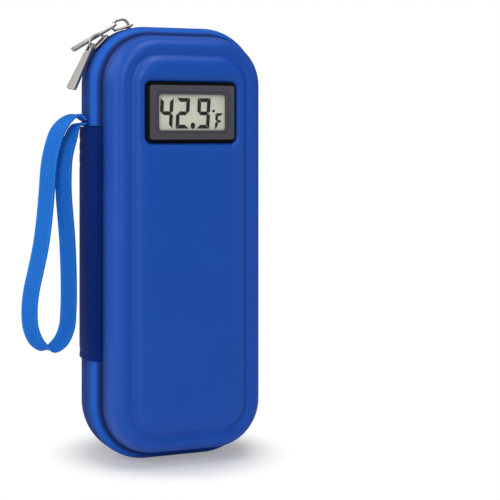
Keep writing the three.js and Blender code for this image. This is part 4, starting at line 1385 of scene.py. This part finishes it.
# Each star is its size, and its place to the side and above the floor.
STARS = [
    (8, (-25, 52)), (7, (24, 70)), (9, (-24, 96)), (8, (3, 84)), (8, (25, 122)), (6, (-6, 128)),
    (7, (-24, 142)), (6, (-13, 166)), (7, (13, 172)), (5, (4, 157)),
]
star_white = Finish("star_white", (240, 246, 252), 0.5)
star_white.tint(star_white.coordinates().grain(1.2, 2), (232, 240, 250), (250, 252, 255))
for body, depth, seed in (("front_pack", 4.15, 3), ("rear_pack", 13.3, 11)):
    stars = joined(*(frost_star(size, place, depth) for size, place in STARS))
    printed(stars, seed)
    placed(stars, FRONT)
    if body == "rear_pack":
        turned_over(stars)
    handed_over(stars, body + "_stars", star_white, body)

# %% [markdown]
# ## Inside the rear half
# A narrow foil pouch with an elastic hem runs up the middle. Its front is crowned, because soft foil
# bows out: a cube is divided finely and its front is pulled back towards the sides. A wide elastic
# strap crosses it.

# %% Pouch, trim and strap
CROWN = 2.2  # how far the front falls back at its sides
RUFFLE = 0.2


def crowned_box(width, height, low, high, middle, back=0.0):
    """A box with a crowned front. The back follows by a share of the crown."""
    bpy.ops.object.select_all(action="DESELECT")
    bpy.ops.mesh.primitive_cube_add(size=1)
    box = bpy.context.object
    editing(box)
    bpy.ops.mesh.subdivide(number_cuts=19)
    done()

    def crowned(p):
        x, y, z = p * MM
        crown = CROWN * abs(2 * x) ** 4 + RUFFLE * noise.noise(Vector((x * 3, y * 9, 0)))
        level = low + (z + 0.5) * (high - low)
        return x * width, middle + y * height, level + crown * max(0.5 - z, back)

    moved(box, crowned)
    return box


pouch = crowned_box(34, 134, 6.35, 13.35, -33.9)
bevelled(pouch, 0.5, 3)
cut(pouch, crowned_box(32.4, 140, 7.15, 12.55, -30.1))
hem = tablet((56, 5, 1.2), 12.6, 13.3, (0, -98.4))
pouch = joined(pouch, hem)
pouch_foil = foil_finish("pouch_foil", 0.5, 0.6)
smooth(pouch, 40)
placed(pouch, FRONT)
turned_over(pouch)
handed_over(pouch, "foil_pouch", pouch_foil, "rear_half", ["vial_pouch"])
trim = crowned_box(34.2, 9, 5.35, 6.05, 28.6, 1.0)
bevelled(trim, 0.15)
placed(trim, FRONT)
turned_over(trim)
handed_over(trim, "pouch_elastic", elastic_cloth, "rear_half", ["pouch_trim"])
strap_band = turned_over(elastic(20, 2.4, 3.4, 87.6))
handed_over(
    strap_band, "wide_elastic", elastic_cloth, "rear_half", ["holding_strap"]
)

# %% [markdown]
# ## Parts that stay as they were drawn
# The parts that are hidden in the walls and in the display unit are already right as solids. They
# keep their shape and only get a finish.

# %% Hidden parts
foam = Finish("foam", (226, 226, 220), 0.9)
cells = foam.coordinates().grain(1.6, 3, 0.7)
foam.tint(cells, (206, 206, 198), (238, 238, 232))
foam.relief(cells, 0.3)
board = Finish("board", (22, 92, 58), 0.45)
x, y, z = board.coordinates().axes()
tracks = ((x * 2.4).sine() * (z * 2.4).sine()).step(0.45, 0.6)
board.tint(tracks * 0.7 + board.coordinates().grain(1.5) * 0.3, (16, 78, 48), (60, 140, 92))
steel = Finish("steel", (190, 190, 192), 0.28, Metallic=1.0)
steel.set("Roughness", 0.22 + steel.coordinates().grain(1.2, 3) * 0.2)
HIDDEN = {
    foam: ["front_insulation", "rear_insulation"],
    board: ["circuit_board"],
    steel: ["left_button_cell", "right_button_cell", "left_cell_contact", "right_cell_contact",
            "cell_bridge"],
    black_plastic: ["unit_back_cover", "battery_door", "temperature_sensor"],
    rubber: ["conductive_strip", "unit_button"],
}
for finish, nodes in HIDDEN.items():
    for node in nodes:
        dress(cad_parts[node], finish)
print("hidden parts:", sum(len(nodes) for nodes in HIDDEN.values()))
